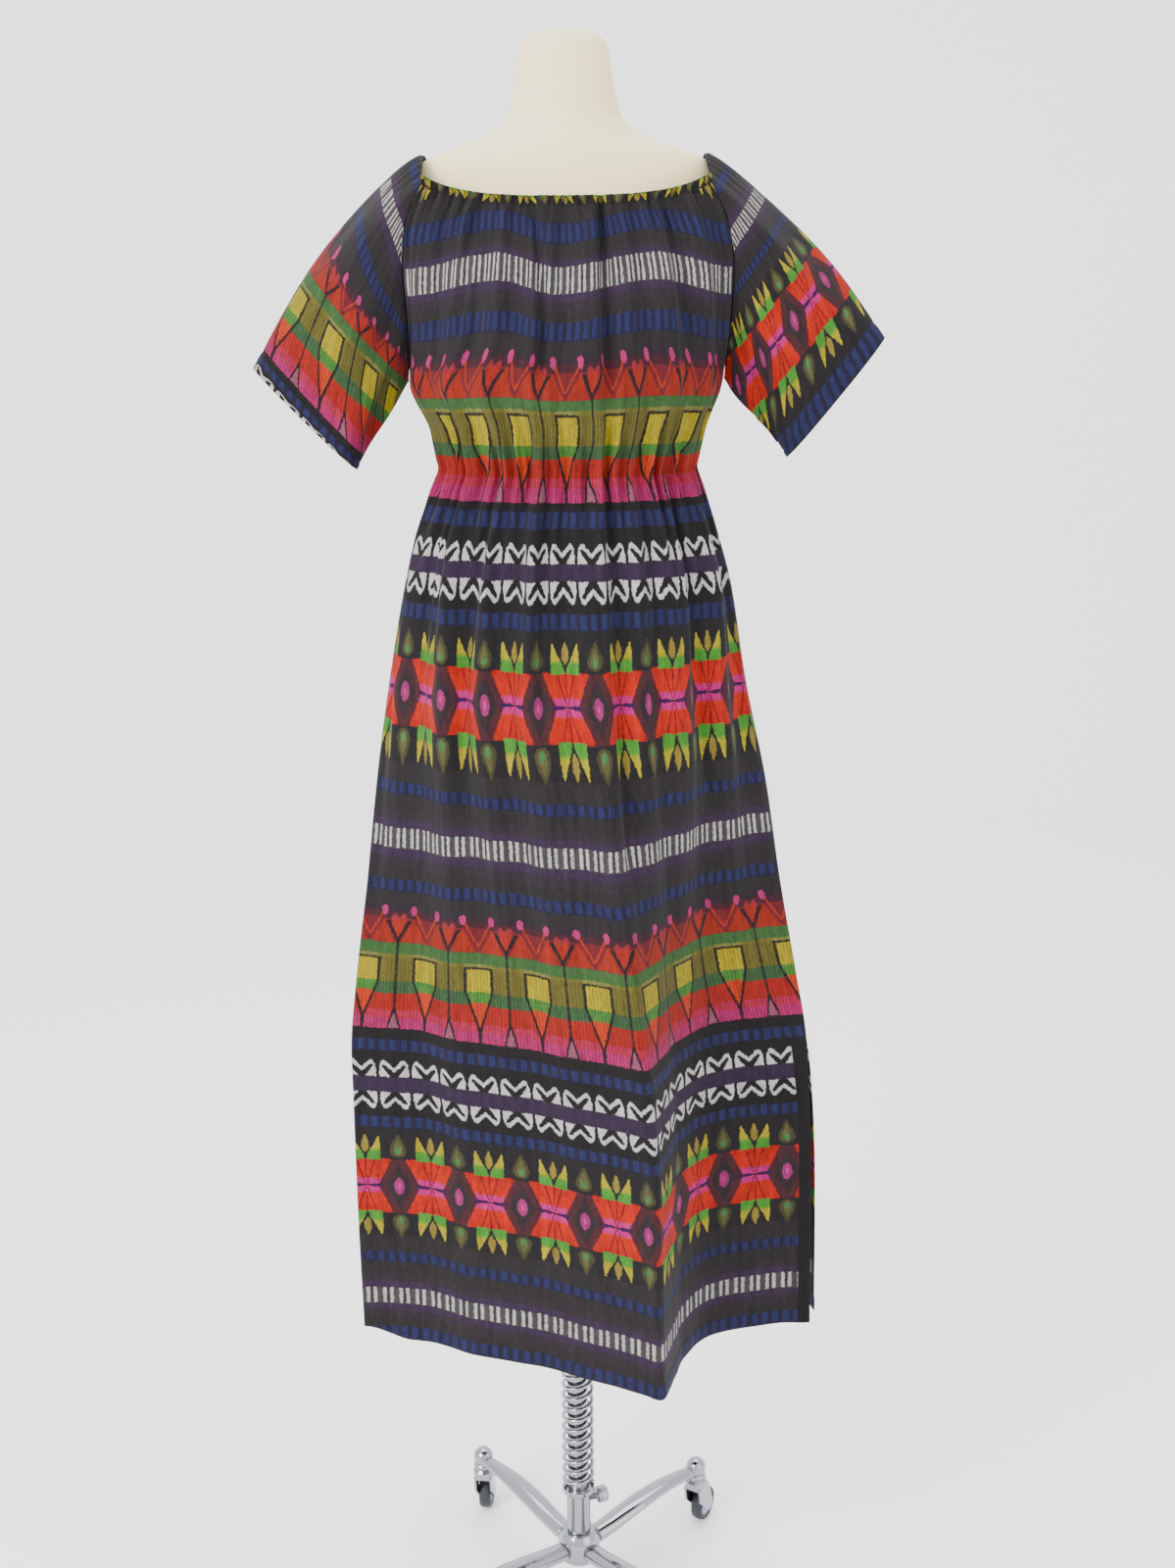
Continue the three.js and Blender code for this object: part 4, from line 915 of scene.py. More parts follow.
@dataclass(frozen=True)
class Panel:
    """A front or back panel: where it runs and how it is gathered.

    Fields:
        side: which way it faces.
        middles: rows of (height, y of its middle).
        folds: rows of (share across, share of the depth) of its hanging folds in plan.
        edge_columns: its columns in EDGE_SECTIONS for the y of its two edges.
        drift: how far its folds move right towards the hem.
        overhang: how far its right edge stands past the front's at the hem.
        neck: the height of its neckline's middle.
        pleats: its gathers.
        creases: its own creases.
        eased: how much cloth the weaver's bands lose past its great fold.
        loom_start: the distance across the loom at its left edge.
        rounded: how far its hem's left corner is curved up.
        deepest: how far in a fold may lie and still clear the form.
    """

    side: Side
    middles: Rows
    folds: Rows
    edge_columns: tuple[int, int]
    drift: float
    overhang: float
    neck: float
    pleats: tuple[Pleats, ...]
    creases: tuple[Crease, ...]
    levels: int = 420
    stations: int = 241
    fold_start: float = 960.0
    eased: float = 0.0
    loom_start: float = 0.0
    rounded: float = 0.0
    deepest: float = 9.0

    def plan_lines(self) -> tuple[np.ndarray, np.ndarray]:
        """The panel's level lines in plan, without gathers.

        Each is a bow that turns gradually into the hanging folds: both give a share across and
        a share of the depth, and the line goes from edge to edge by the first and from the
        edges' y to the middle's by the second.

        Returns:
            The heights, from the highest down, and points (heights, stations, 2).
        """
        z = np.linspace(EDGE_SECTIONS[0][0], HEM_Z, self.levels)[:, None]
        slit = np.clip((SLIT_RIGHT_Z - z) / (SLIT_RIGHT_Z - HEM_Z), 0, 1)
        left = -table_value(EDGE_SECTIONS, EDGE_LEFT, z)
        right = table_value(EDGE_SECTIONS, EDGE_RIGHT, z) + self.overhang * np.sqrt(slit)
        left_y, right_y = (table_value(EDGE_SECTIONS, column, z) for column in self.edge_columns)
        middle_y = table_value(self.middles, 1, z)
        half = np.radians(table_value(BOWS, 1, z))
        share = table_value(BOWS, 2, z)
        drift = self.drift * np.clip((self.fold_start - z) / (self.fold_start - HEM_Z), 0, 1)
        folds = spline_through(np.array(self.folds, float), 321)
        angle = np.linspace(-1, 1, len(folds))[None, :] * half
        bow_across = np.sin(angle) / np.sin(half)
        bow_depth = (np.cos(angle) - np.cos(half)) / (1 - np.cos(half))
        fold_across = folds[:, 0] + drift * (1 - folds[:, 0] ** 2)
        across = bow_across + (fold_across - bow_across) * share
        depth = bow_depth + (folds[:, 1] - bow_depth) * share
        edge = (across + 1) / 2
        x = left + (right - left) * edge
        base_y = left_y + (right_y - left_y) * edge
        lines = np.stack([x, base_y + depth * (middle_y - base_y)], axis=2)
        return z[:, 0], even_lines(lines, self.stations)

    def place(self, share: np.ndarray, z: np.ndarray, lift: np.ndarray | float = 0.0) -> np.ndarray:
        """Points on the panel, by reading its plan lines between heights and stations.

        Args:
            share: shares of the way across, from the left edge.
            z: heights, in the same shape.
            lift: how far out from the plan line each point lies.

        Returns:
            Points, with one more axis than share.
        """
        heights, lines = self.plan_lines()
        row = np.clip((heights[0] - z) / (heights[0] - heights[-1]), 0, 1) * (self.levels - 1)
        column = np.clip(share, 0, 1) * (self.stations - 1)
        r = np.minimum(row.astype(int), self.levels - 2)
        c = np.minimum(column.astype(int), self.stations - 2)
        fr, fc = (row - r)[..., None], (column - c)[..., None]
        along = np.gradient(lines, axis=1)
        normals = np.stack([along[..., 1], -along[..., 0]], axis=2) * -self.side.value
        normals /= np.linalg.norm(normals, axis=2, keepdims=True)

        def between(values: np.ndarray) -> np.ndarray:
            """Values at the points, from the four grid points round each."""
            upper = values[r, c] * (1 - fc) + values[r, c + 1] * fc
            lower = values[r + 1, c] * (1 - fc) + values[r + 1, c + 1] * fc
            return upper * (1 - fr) + lower * fr

        flat = between(lines) + between(normals) * np.asarray(lift)[..., None]
        return np.concatenate([flat, np.broadcast_to(z, share.shape)[..., None]], axis=-1)

    def row_height(self, row: np.ndarray, share: np.ndarray) -> np.ndarray:
        """A row's height: level, but curved up to the neckline's corners and the hem's left one."""
        across = np.abs(2 * share - 1)
        neckline = self.neck + (NECK_CORNER_Z - self.neck) * across**3
        fade = np.clip((row - UNDERARM_Z) / (NECK_CORNER_Z - UNDERARM_Z), 0, 1)
        corner = self.rounded * smooth_step(1 - share / 0.09) * smooth_step((HEM_Z + 70 - row) / 70)
        return row + (neckline - NECK_CORNER_Z) * fade + corner

    def lift(self, share: np.ndarray, z: np.ndarray) -> np.ndarray:
        """How far out the gathers, creases and sewn edges put the cloth."""
        lift = sum(pleats.lift(share, z) for pleats in self.pleats)
        lift = lift + sum(crease.lift(share, z) for crease in self.creases)
        edge = np.minimum(share, 1 - share)
        lift = lift * smooth_step(edge / SEWN_SHARE)
        lift = np.where(lift < 0, self.deepest * np.tanh(lift / self.deepest), lift)
        pinch = np.exp(-(((z - WAIST_Z) / ELASTIC_HALF) ** 2))
        hem = smooth_step((HEM_Z + HEM_TURN - z) / 3)
        stitched = np.exp(-(((z - HEM_Z - HEM_TURN) / 1.6) ** 2))
        return lift - ELASTIC_PINCH * pinch + HEM_PROUD * hem - STITCH_DEPTH * stitched

    def down(self, points: np.ndarray) -> np.ndarray:
        """The distance down the cloth at points of the panel, which the bands follow."""
        z = points[..., 2]
        ride = smooth_step((z - 1330) / 160)
        x = points[..., 0]
        crests = -BUST_RIDE * np.cos(np.pi * np.interp(x, BUST_CRESTS, range(len(BUST_CRESTS))))
        on_skirt = smooth_step((1010 - z) / 60) * smooth_step((z - 740) / 80)
        sag = LEFT_SAG * on_skirt * smooth_step((-x - 60) / 120)
        band = np.array(BAND_HEIGHTS[::-1], float)
        return np.interp(z - crests * ride + sag, band[:, 0], band[:, 1])


# ------------------------------------------------------------------ the dress
FRONT_PANEL = Panel(
    side=Side.FRONT,
    middles=(
        (1600, -84), (1576, -90), (1540, -101), (1500, -115), (1450, -127), (1398, -121), (1350, -106),
        (1315, -97), (1290, -103), (1250, -116), (1200, -130), (1100, -150), (1000, -170), (900, -182),
        (800, -187), (560, -192), (388, -194),
    ),
    folds=(
        (-1.0, 0.0), (-0.72, 0.13), (-0.5, 0.36), (-0.24, 0.53), (0.0, 0.75), (0.2, 0.93), (0.29, 1.0),
        (0.345, 0.72), (0.4, 0.45), (0.5, 0.2), (0.7, 0.07), (1.0, 0.0),
    ),
    edge_columns=(3, 4),
    drift=0.025,
    overhang=0.0,
    eased=20.0,
    rounded=15.0,
    deepest=13.0,
    neck=1556.0,
    pleats=(
        Pleats(8.6, WIDE_DEPTHS, 0.1, 0.35),
        Pleats(19.0, NARROW_DEPTHS, 0.13, 0.1),
        Pleats(38.0, FINE_DEPTHS, 0.16, 0.6),
    ),
    creases=(
        Crease((0.62, 1292), (0.6, 960), 0.015, 10.0, 0.01),
        Crease((0.3, 1288), (0.24, 1010), 0.018, 8.0, -0.01),
        Crease((0.45, 1292), (0.44, 1080), 0.014, 7.5),
        Crease((0.8, 1286), (0.84, 1000), 0.016, 7.5),
        Crease((0.13, 1280), (0.1, 1040), 0.02, 2.6),
        Crease((0.4, 1562), (0.44, 1400), 0.014, 11.0, 0.008),
        Crease((0.61, 1562), (0.6, 1385), 0.015, 12.0, -0.006),
        Crease((0.22, 1555), (0.2, 1430), 0.016, 6.0),
        Crease((0.8, 1555), (0.83, 1440), 0.016, 5.6),
        Crease((0.05, 1420), (0.2, 1360), 0.03, 2.2),
        Crease((0.95, 1425), (0.82, 1360), 0.03, 2.4),
        Crease((0.12, 880), (0.16, 520), 0.04, 3.0),
        Crease((0.86, 860), (0.9, 560), 0.035, 3.0),
    ),
)
BACK_PANEL = Panel(
    side=Side.BACK,
    middles=(
        (1600, 74), (1576, 79), (1540, 89), (1500, 97), (1450, 100), (1398, 98), (1350, 90), (1315, 86),
        (1290, 94), (1250, 108), (1200, 121), (1100, 128), (1000, 124), (900, 117), (800, 110), (560, 98),
        (388, 90),
    ),
    folds=(
        (-1.0, 0.0), (-0.95, 0.3), (-0.8, 0.66), (-0.62, 0.86), (-0.42, 0.86), (-0.2, 0.93), (0.02, 1.0),
        (0.24, 0.93), (0.44, 0.86), (0.64, 0.87), (0.82, 0.66), (0.95, 0.3), (1.0, 0.0),
    ),
    edge_columns=(5, 6),
    drift=0.0,
    overhang=8.0,
    loom_start=-10 * REPEAT_ACROSS,
    neck=1566.0,
    pleats=(
        Pleats(9.3, WIDE_DEPTHS, 0.11, 0.8),
        Pleats(20.0, NARROW_DEPTHS, 0.12, 0.45),
        Pleats(40.0, FINE_DEPTHS, 0.15, 0.2),
    ),
    creases=(
        Crease((0.3, 1285), (0.27, 760), 0.028, 4.0, 0.01),
        Crease((0.52, 1290), (0.54, 900), 0.022, 3.2),
        Crease((0.72, 1285), (0.75, 700), 0.03, 4.2, -0.01),
        Crease((0.88, 1270), (0.9, 900), 0.025, 2.6),
        Crease((0.12, 1270), (0.1, 860), 0.025, 2.6),
        Crease((0.35, 1560), (0.38, 1400), 0.02, 5.0),
        Crease((0.65, 1560), (0.61, 1400), 0.018, 4.6),
        Crease((0.06, 1415), (0.2, 1350), 0.03, 2.2),
        Crease((0.94, 1415), (0.8, 1350), 0.03, 2.2),
    ),
)


@dataclass
class Sleeve:
    """A wide elbow sleeve: a flat tube from its slanted seams to its cuff.

    Fields:
        name: the piece's name.
        side: -1 on the left as the front is looked at, 1 on the right.
        cuff_top, cuff_low: (across, height) of the cuff's two corners.
        swell: how far its shoulder line stands off a straight one.
        bands: rows of (height above the cuff, distance down the loom's bands).
        across_start: the distance across the cloth at the sleeve's underside.
        skew: how much steeper than the cuff the bands lie near the seam.
        tilt: how much steeper they lie everywhere.
    """

    name: str
    side: int
    cuff_top: tuple[float, float]
    cuff_low: tuple[float, float]
    swell: float
    bands: Rows
    across_start: float
    skew: float
    tilt: float
    cuff_half_depth: float = 21.0
    cuff_y: float = -14.0
    shoulder: tuple[float, float, float] = (133.0, -4.0, 1607.0)
    around: int = 168
    rows: int = 84

    def seam(self) -> np.ndarray:
        """The seam loop from the underarm up the front, over the shoulder and down the back."""
        z = np.linspace(UNDERARM_Z + 0.6, NECK_CORNER_Z + 0.6, 40)
        share = np.full_like(z, 0.0 if self.side < 0 else 1.0)
        gap = np.array([self.side * 2 * SEAM_GAP, 0, 0])
        front, back = (panel.place(share, z) + gap for panel in (FRONT_PANEL, BACK_PANEL))
        x, y, top = self.shoulder
        over = spline_through(
            np.array([
                front[-1], (self.side * (x - 1), -46, top - 9), (self.side * x, y, top),
                (self.side * (x - 1), 38, top - 9), back[-1],
            ]),
            40,
        )
        loop = np.concatenate([front[:-1], over, back[:-1][::-1], front[:1]])
        return even_lines(loop[None], self.around + 1)[0, :-1]

    def grid(self) -> np.ndarray:
        """The sleeve's points: from the seam loop straight to the cuff's flat oval, with a swell."""
        start = self.seam()[None]
        t = np.linspace(0, 1, self.rows)[:, None, None]
        angle = (2 * np.pi * np.arange(self.around) / self.around)[None, :, None]
        up, forward = -np.cos(angle), -np.sin(angle)
        top = np.array([self.side * self.cuff_top[0], self.cuff_y, self.cuff_top[1]])
        low = np.array([self.side * self.cuff_low[0], self.cuff_y, self.cuff_low[1]])
        cuff = (top + low) / 2 + (top - low) / 2 * np.sign(up) * np.abs(up) ** 0.8
        cuff = cuff + forward * np.array([0, self.cuff_half_depth, 0])
        swollen = np.sin(np.pi * t**0.75)
        points = start + (cuff - start) * t
        outward = np.array([self.side * 0.75, 0, 0.66]) * self.swell
        points = points + outward * swollen * np.maximum(up, 0) ** 2
        points = points + np.array([0, 6, 0]) * forward * swollen
        return points + self.normals(points) * self.lift(angle, t)

    def normals(self, points: np.ndarray) -> np.ndarray:
        """Unit normals of a grid that goes round, pointing out."""
        along = np.gradient(points, axis=0)
        around = np.roll(points, -1, axis=1) - np.roll(points, 1, axis=1)
        normals = np.cross(along, around) * self.side
        normals = normals / np.maximum(np.linalg.norm(normals, axis=2, keepdims=True), 1e-9)
        middle = points.mean(axis=1, keepdims=True)
        turned = np.sign(np.sum(normals * (points - middle)))
        return normals * turned

    def lift(self, angle: np.ndarray, t: np.ndarray) -> np.ndarray:
        """Soft folds from the underarm, gathers at the neckline and the turned cuff hem."""
        up = -np.cos(angle)
        away = smooth_step(t / 0.12)
        folds = 2.6 * np.sin(3 * angle + 5 * t + 0.6) * np.sin(np.pi * t) ** 0.8
        folds = folds + 1.5 * np.sin(7 * angle - 4 * t + self.side) * np.sin(np.pi * t**0.7)
        under = -3.6 * np.exp(-(((angle - 0.42) / 0.16) ** 2)) * np.sin(np.pi * np.clip(t / 0.75, 0, 1))
        under = under - 3.0 * np.exp(-(((angle - 2 * np.pi + 0.5) / 0.16) ** 2)) * np.sin(np.pi * t)
        gathers = 1.8 * np.cos(46 * angle) * smooth_step((up - 0.62) / 0.2) * np.exp(-((t / 0.14) ** 2))
        hem = 0.6 * smooth_step((t - 0.935) / 0.01) - 0.6 * np.exp(-(((t - 0.93) / 0.008) ** 2))
        return (folds + under) * away + gathers * smooth_step(t / 0.01) + hem

    def cloth_places(self, points: np.ndarray) -> np.ndarray:
        """UV pairs: bands parallel to the cuff, and the way round for the threads."""
        top, low = np.array(self.cuff_top), np.array(self.cuff_low)
        line = (top - low) / np.linalg.norm(top - low)
        out = np.array([line[1], -line[0]])
        flat = np.stack([points[..., 0] * self.side, points[..., 2]], axis=-1)
        up = ((top + low) / 2 - flat) @ out
        along = (flat - (top + low) / 2) @ line
        up = up - along * (self.tilt + self.skew * smooth_step((up - 90) / 100))
        closed = np.concatenate([points, points[:, :1]], axis=1)
        steps = np.linalg.norm(np.diff(closed, axis=1), axis=2)
        across = np.concatenate([np.zeros((len(points), 1)), np.cumsum(steps, axis=1)], axis=1)
        across = across - across[:, -1:] / 2 + self.across_start
        rows = np.array(self.bands, float)
        down = np.interp(np.concatenate([up, up[:, :1]], axis=1), rows[:, 0], rows[:, 1])
        return np.stack([across * self.side, down], axis=-1)

    def build(self) -> Piece:
        """Makes the sleeve."""
        points = self.grid()
        middle = points.mean(axis=1, keepdims=True)
        return sheet_object(self.name, points, self.cloth_places(points), True, middle)


@dataclass
class Dress:
    """The whole dress: two panels, two neckline casings and two sleeves.

    Fields:
        columns: points across each panel.
        casing_columns: points across each casing, whose ripples are finer.
        frill: height of the neckline casings.
        frill_down: the distance down the cloth at a casing's foot, and its change up to the tip.
    """

    columns: int = 265
    casing_columns: int = 481
    frill: float = 9.0
    frill_down: tuple[float, float] = (-13.0, -27.0)
    cotton: HandloomedCotton = field(default_factory=HandloomedCotton)

    def row_heights(self) -> np.ndarray:
        """Heights of the rows from the neckline to the hem, closer together at neck, waist and hem."""
        stops = (NECK_CORNER_Z, 1535, 1360, 1270, 1120, HEM_Z + 26, HEM_Z)
        counts = (16, 32, 34, 26, 60, 9)
        parts = [np.linspace(a, b, n, endpoint=False) for a, b, n in zip(stops[:-1], stops[1:], counts)]
        return np.concatenate([*parts, [HEM_Z]])

    def panel(self, name: str, panel: Panel) -> Piece:
        """Makes one panel.

        The UV's first value is the length along each row's own gathered line, scaled so that
        every row is one loom width, and its second one follows the bands.
        """
        share, row = np.meshgrid(np.linspace(0, 1, self.columns), self.row_heights())
        z = panel.row_height(row, share)
        points = panel.place(share, z, panel.lift(share, z))
        points[..., 1] += self.parting(panel, share, z)
        across = self.across(points)
        across -= panel.eased * smooth_step((across - 330) / 120) * smooth_step((panel.fold_start - z) / 350)
        across += panel.loom_start
        return sheet_object(
            name, points, np.stack([across, panel.down(points)], axis=-1), False, np.array([0, -35.0, 900])
        )

    def parting(self, panel: Panel, share: np.ndarray, z: np.ndarray) -> np.ndarray:
        """How far a panel's edges stand apart from the other's: a seam's gap, more down the slits."""
        left, right = (
            np.clip((top - z) / (top - HEM_Z), 0, 1) * smooth_step(near)
            for top, near in ((SLIT_LEFT_Z, 1 - share / 0.06), (SLIT_RIGHT_Z, (share - 0.94) / 0.06))
        )
        seam = SEAM_GAP / 2 * (smooth_step(1 - share / 0.02) + smooth_step((share - 0.98) / 0.02))
        return panel.side.value * (SLIT_OPENING / 2 * (left + right) + seam)

    def across(self, points: np.ndarray) -> np.ndarray:
        """The distance across the cloth at each point of a panel's grid."""
        steps = np.linalg.norm(np.diff(points, axis=1), axis=2)
        along = np.concatenate([np.zeros((len(points), 1)), np.cumsum(steps, axis=1)], axis=1)
        return LOOM_WIDTH * along / along[:, -1:]

    def casing(self, name: str, panel: Panel) -> Piece:
        """Makes the narrow frill that stands on a panel's top edge, rippled more towards its tip."""
        share, up = np.meshgrid(np.linspace(0, 1, self.casing_columns), np.linspace(1, 0, 9))
        base = panel.row_height(np.full_like(share, NECK_CORNER_Z), share)
        ripple = 2.1 * np.cos(2 * np.pi * (47 * share + 0.3 * np.sin(19 * share))) * up**1.5
        ripple = ripple * smooth_step(np.minimum(share, 1 - share) / 0.02)
        stitched = 0.8 * np.exp(-((up / 0.15) ** 2))
        points = panel.place(share, base, panel.lift(share, base) + ripple - stitched)
        points[..., 2] = base - 1.0 + (self.frill + 1.0) * up
        points[..., 1] += panel.side.value * SEAM_GAP / 2
        uv = np.stack([self.across(points), self.frill_down[0] + self.frill_down[1] * up], axis=-1)
        return sheet_object(name, points, uv, False, np.array([0, -5.0, 1500]))

    def build(self) -> None:
        """Makes and dresses every piece of the dress, hides the node that each stands for and puts it on its
        body.
        """
        material = self.cotton.material()
        panel_cut, casing_cut, sleeve_cut = (0.576, 1.25), (0.42, 0.01), (0.4, 0.25)
        pieces = {
            "front_panel": (self.panel("front_cloth", FRONT_PANEL), panel_cut, "form_cover"),
            "back_panel": (self.panel("back_cloth", BACK_PANEL), panel_cut, "form_cover"),
            "neck_casing_front": (self.casing("front_neck_frill", FRONT_PANEL), casing_cut, "front_cloth"),
            "neck_casing_back": (self.casing("back_neck_frill", BACK_PANEL), casing_cut, "back_cloth"),
        }
        left_bands = (
            (-10, 308), (3, 307), (4, 289), (22, 255), (96, 169), (117, 129), (134, 102), (168, 53), (203, 6),
            (260, -66),
        )
        right_bands = (
            (-10, -166), (0, -157.5), (20, -144.5), (83, -77), (128, -20), (143, 6), (170, 53), (215, 112),
            (300, 122),
        )
        left = Sleeve("left_sleeve_cloth", -1, (304, 1412), (208, 1314), 19, left_bands, 12.0, 0.45, 0.04)
        right = Sleeve("right_sleeve_cloth", 1, (308, 1436), (216, 1323), 14, right_bands, 9.0, 0.1, 0.0)
        pieces["sleeve_left"] = (left.build(), sleeve_cut, "form_cover")
        pieces["sleeve_right"] = (right.build(), sleeve_cut, "form_cover")
        for node, (piece, flat, rest) in pieces.items():
            piece.data.materials.append(material)
            add_wall(piece, WALL)
            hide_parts(node)
            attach(piece, "upper")
            LOG.info("%s: %d faces", piece.name, len(piece.data.polygons))


# ------------------------------------------------------------------ the form
@dataclass
class DressForm:
    """A padded torso with a neck stump, covered in linen."""

    sections: Rows = (
        # z, half width, front, back
        (1717, 22, 14, 32), (1713, 33, 24, 42), (1704, 41, 33, 50), (1665, 48, 40, 56), (1642, 54, 45, 58),
        (1627, 70, 51, 60), (1617, 93, 56, 62), (1608, 119, 60, 63), (1598, 140, 63, 64), (1580, 152, 68, 66),
        (1540, 152, 80, 76), (1500, 146, 97, 83), (1460, 141, 110, 86), (1410, 134, 106, 84),
        (1360, 118, 90, 76), (1315, 108, 80, 69), (1250, 132, 94, 94), (1170, 150, 104, 112),
        (1090, 157, 106, 114), (980, 150, 100, 102), (860, 138, 90, 86),
    )
    around: int = 112
    levels: int = 230
    linen: LinenCover = field(default_factory=LinenCover)

    def grid(self) -> np.ndarray:
        """Two half ovals at each height, closed by a point at the top and the bottom."""
        heights = np.array([row[0] for row in self.sections], float)
        z = np.interp(np.linspace(0, 1, self.levels), np.linspace(0, 1, len(heights)), heights)[:, None]
        angle = np.linspace(0, 2 * np.pi, self.around, endpoint=False)[None]
        forward = np.cos(angle)
        front, back = table_value(self.sections, 2, z), table_value(self.sections, 3, z)
        depth = back + (front - back) * smooth_step((forward + 0.35) / 0.7)
        x = table_value(self.sections, 1, z) * np.sin(angle)
        return capped(np.stack([x, -depth * forward, z + 0 * angle], axis=2))

    def build(self) -> None:
        """Makes the linen-covered form."""
        cover = closed_object("form_cover", [self.grid()])
        cover.data.materials.append(self.linen.material())
        soften_edges(cover, 2.5)
        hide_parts("form_body")
        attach(cover, "upper")
        LOG.info("%s: %d faces", cover.name, len(cover.data.polygons))


# ------------------------------------------------------------------ the stand
@dataclass(frozen=True)
class Caster:
    """One leg's caster: the leg's azimuth and the way that the caster trails, in degrees."""

    name: str
    azimuth: float
    trail: float


@dataclass
class Stand:
    """The chromed stand: plate, pole, spring, tube, hub, four legs and four casters."""

    casters: tuple[Caster, ...] = (
        Caster("back_right", 45, 60),
        Caster("back_left", 135, 84),
        Caster("front_left", 225, 215),
        Caster("front_right", 315, 300),
    )
    leg_turn: float = -5.3
    leg_reach: float = 187.0
    trail_length: float = 20.0
    wheel_radius: float = 21.0
    wheel_half: float = 7.5
    wheel_sides: int = 20
    clamp_height: float = 126.0
    clamp_azimuth: float = 24.0
    spring_radius: float = 16.4
    spring_wire: float = 2.2
    spring_turns: int = 26
    chrome: HardFinish = CHROME_PLATE
    rubber: HardFinish = MOULDED_RUBBER
    nylon: HardFinish = MOULDED_NYLON

    def finish(self, piece: Piece, material: Material, slot: str, body: str, *nodes: str) -> None:
        """Dresses a piece, hides the nodes that it stands for and puts it on the body that it rides on."""
        piece.data.materials.append(material)
        if nodes:
            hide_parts(*nodes)
        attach(piece, body)
        LOG.info("%s: %d faces", piece.name, len(piece.data.polygons))

    def turned_pieces(self, chrome: Material) -> None:
        """Makes the pieces that are turned about the pole's axis."""
        profiles: dict[str, tuple[str, Rows]] = {
            "form_plate": ("upper", ((0, 851.7), (60, 851.7), (60, 859.7), (0, 859.7))),
            "pole": ("upper", (
                (0, 190), (8.8, 190), (9.8, 191), (9.8, 846.4), (38, 846.4), (38, 851.4), (0, 851.4),
            )),
            "pole_stop": ("upper", ((10.1, 510), (18.5, 510), (18.5, 520), (10.1, 520), (10.1, 510))),
            "base_tube": ("base", ((10.3, 58), (11.8, 58), (11.8, 396), (10.3, 396), (10.3, 58))),
            "base_sleeve": ("base", (
                (12.1, 88.3), (13.6, 88.3), (13.6, 138), (18.5, 141), (18.5, 147), (12.1, 147), (12.1, 88.3),
            )),
            "hub": ("base", (
                (12.1, 52), (21, 52), (24, 56), (24, 76), (22.5, 81), (19.5, 85.5), (18, 88), (12.1, 88),
                (12.1, 52),
            )),
        }
        for node, (body, profile) in profiles.items():
            piece = closed_object(f"{node}_chrome", [turned_grid(profile)])
            soften_edges(piece, 0.7)
            self.finish(piece, chrome, "chrome", body, node)

    def spring(self, chrome: Material) -> None:
        """Makes the spring: a round wire carried along a helix, its ends closed by points."""
        bottom, top = 147.3 + self.spring_wire, 509.7 - self.spring_wire
        steps, sides = self.spring_turns * 40, 14
        angle = np.linspace(0, 2 * np.pi * self.spring_turns, steps + 1)[:, None]
        z = np.linspace(bottom, top, steps + 1)[:, None]
        section = np.linspace(0, 2 * np.pi, sides, endpoint=False)[None]
        radius = self.spring_radius + self.spring_wire * np.cos(section)
        up = z + self.spring_wire * np.sin(section)
        wire = np.stack([radius * np.cos(angle), radius * np.sin(angle), up], axis=2)
        piece = closed_object("spring_wire", [capped(wire)])
        piece.data.materials.append(chrome)
        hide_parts("spring")
        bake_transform(piece)
        LOG.info("%s: %d faces", piece.name, len(piece.data.polygons))

    def leg_grid(self) -> np.ndarray:
        """A leg along +X: a flattened oval carried out along an arch, closed at both ends."""
        sections = np.array([
            # reach, middle z, half width, half height
            (24.5, 68, 12, 9.5), (52, 72, 13, 9), (90, 79, 13.4, 8), (128, 83, 11.8, 7), (160, 82, 9.6, 6.4),
            (187, 80, 7.5, 6.3),
        ])
        lofted = spline_through(sections, 56)[:, :, None]
        angle = np.linspace(0, 2 * np.pi, 28, endpoint=False)[None]
        across = np.sign(np.cos(angle)) * np.abs(np.cos(angle)) ** 0.9
        up = np.sign(np.sin(angle)) * np.abs(np.sin(angle)) ** 1.1
        reach, middle, half_width, half_height = (lofted[:, i] for i in range(4))
        return capped(np.stack([reach + 0 * angle, half_width * across, middle + half_height * up], axis=2))

    def knob_grid(self) -> np.ndarray:
        """The caster's socket with its ball-topped knob, about the swivel's axis."""
        radius, middle = 12.2, 83.8
        turns = np.linspace(math.radians(128), 0, 14)
        ball = [(radius * math.sin(a), middle + radius * math.cos(a)) for a in turns]
        return turned_grid(((0, 70), (11, 70), (12, 72), (12, 74.5), (10, 76), *ball), 48)

    def wheel_grids(self) -> tuple[np.ndarray, np.ndarray]:
        """The tyre and the wheel's centre, about the Y axis at the origin."""
        half, radius = self.wheel_half, self.wheel_radius * math.cos(math.pi / self.wheel_sides)
        tyre = (
            (14.5, -half + 0.8), (17.5, -half), (19.6, -half + 1.2), (radius, -half + 4), (radius, half - 4),
            (19.6, half - 1.2), (17.5, half), (14.5, half - 0.8), (14.5, -half + 0.8),
        )
        centre = (
            (0, -half - 0.3), (5, -half - 0.3), (6.5, -half + 0.8), (12, -half + 2.2), (14.4, -half + 1.4),
            (14.4, half - 1.4), (12, half - 2.2), (6.5, half - 0.8), (5, half + 0.3), (0, half + 0.3),
        )
        turn = np.array([[1, 0, 0], [0, 0, 1], [0, -1, 0]], float)
        return turned_grid(tyre, 80) @ turn.T, turned_grid(centre, 64) @ turn.T

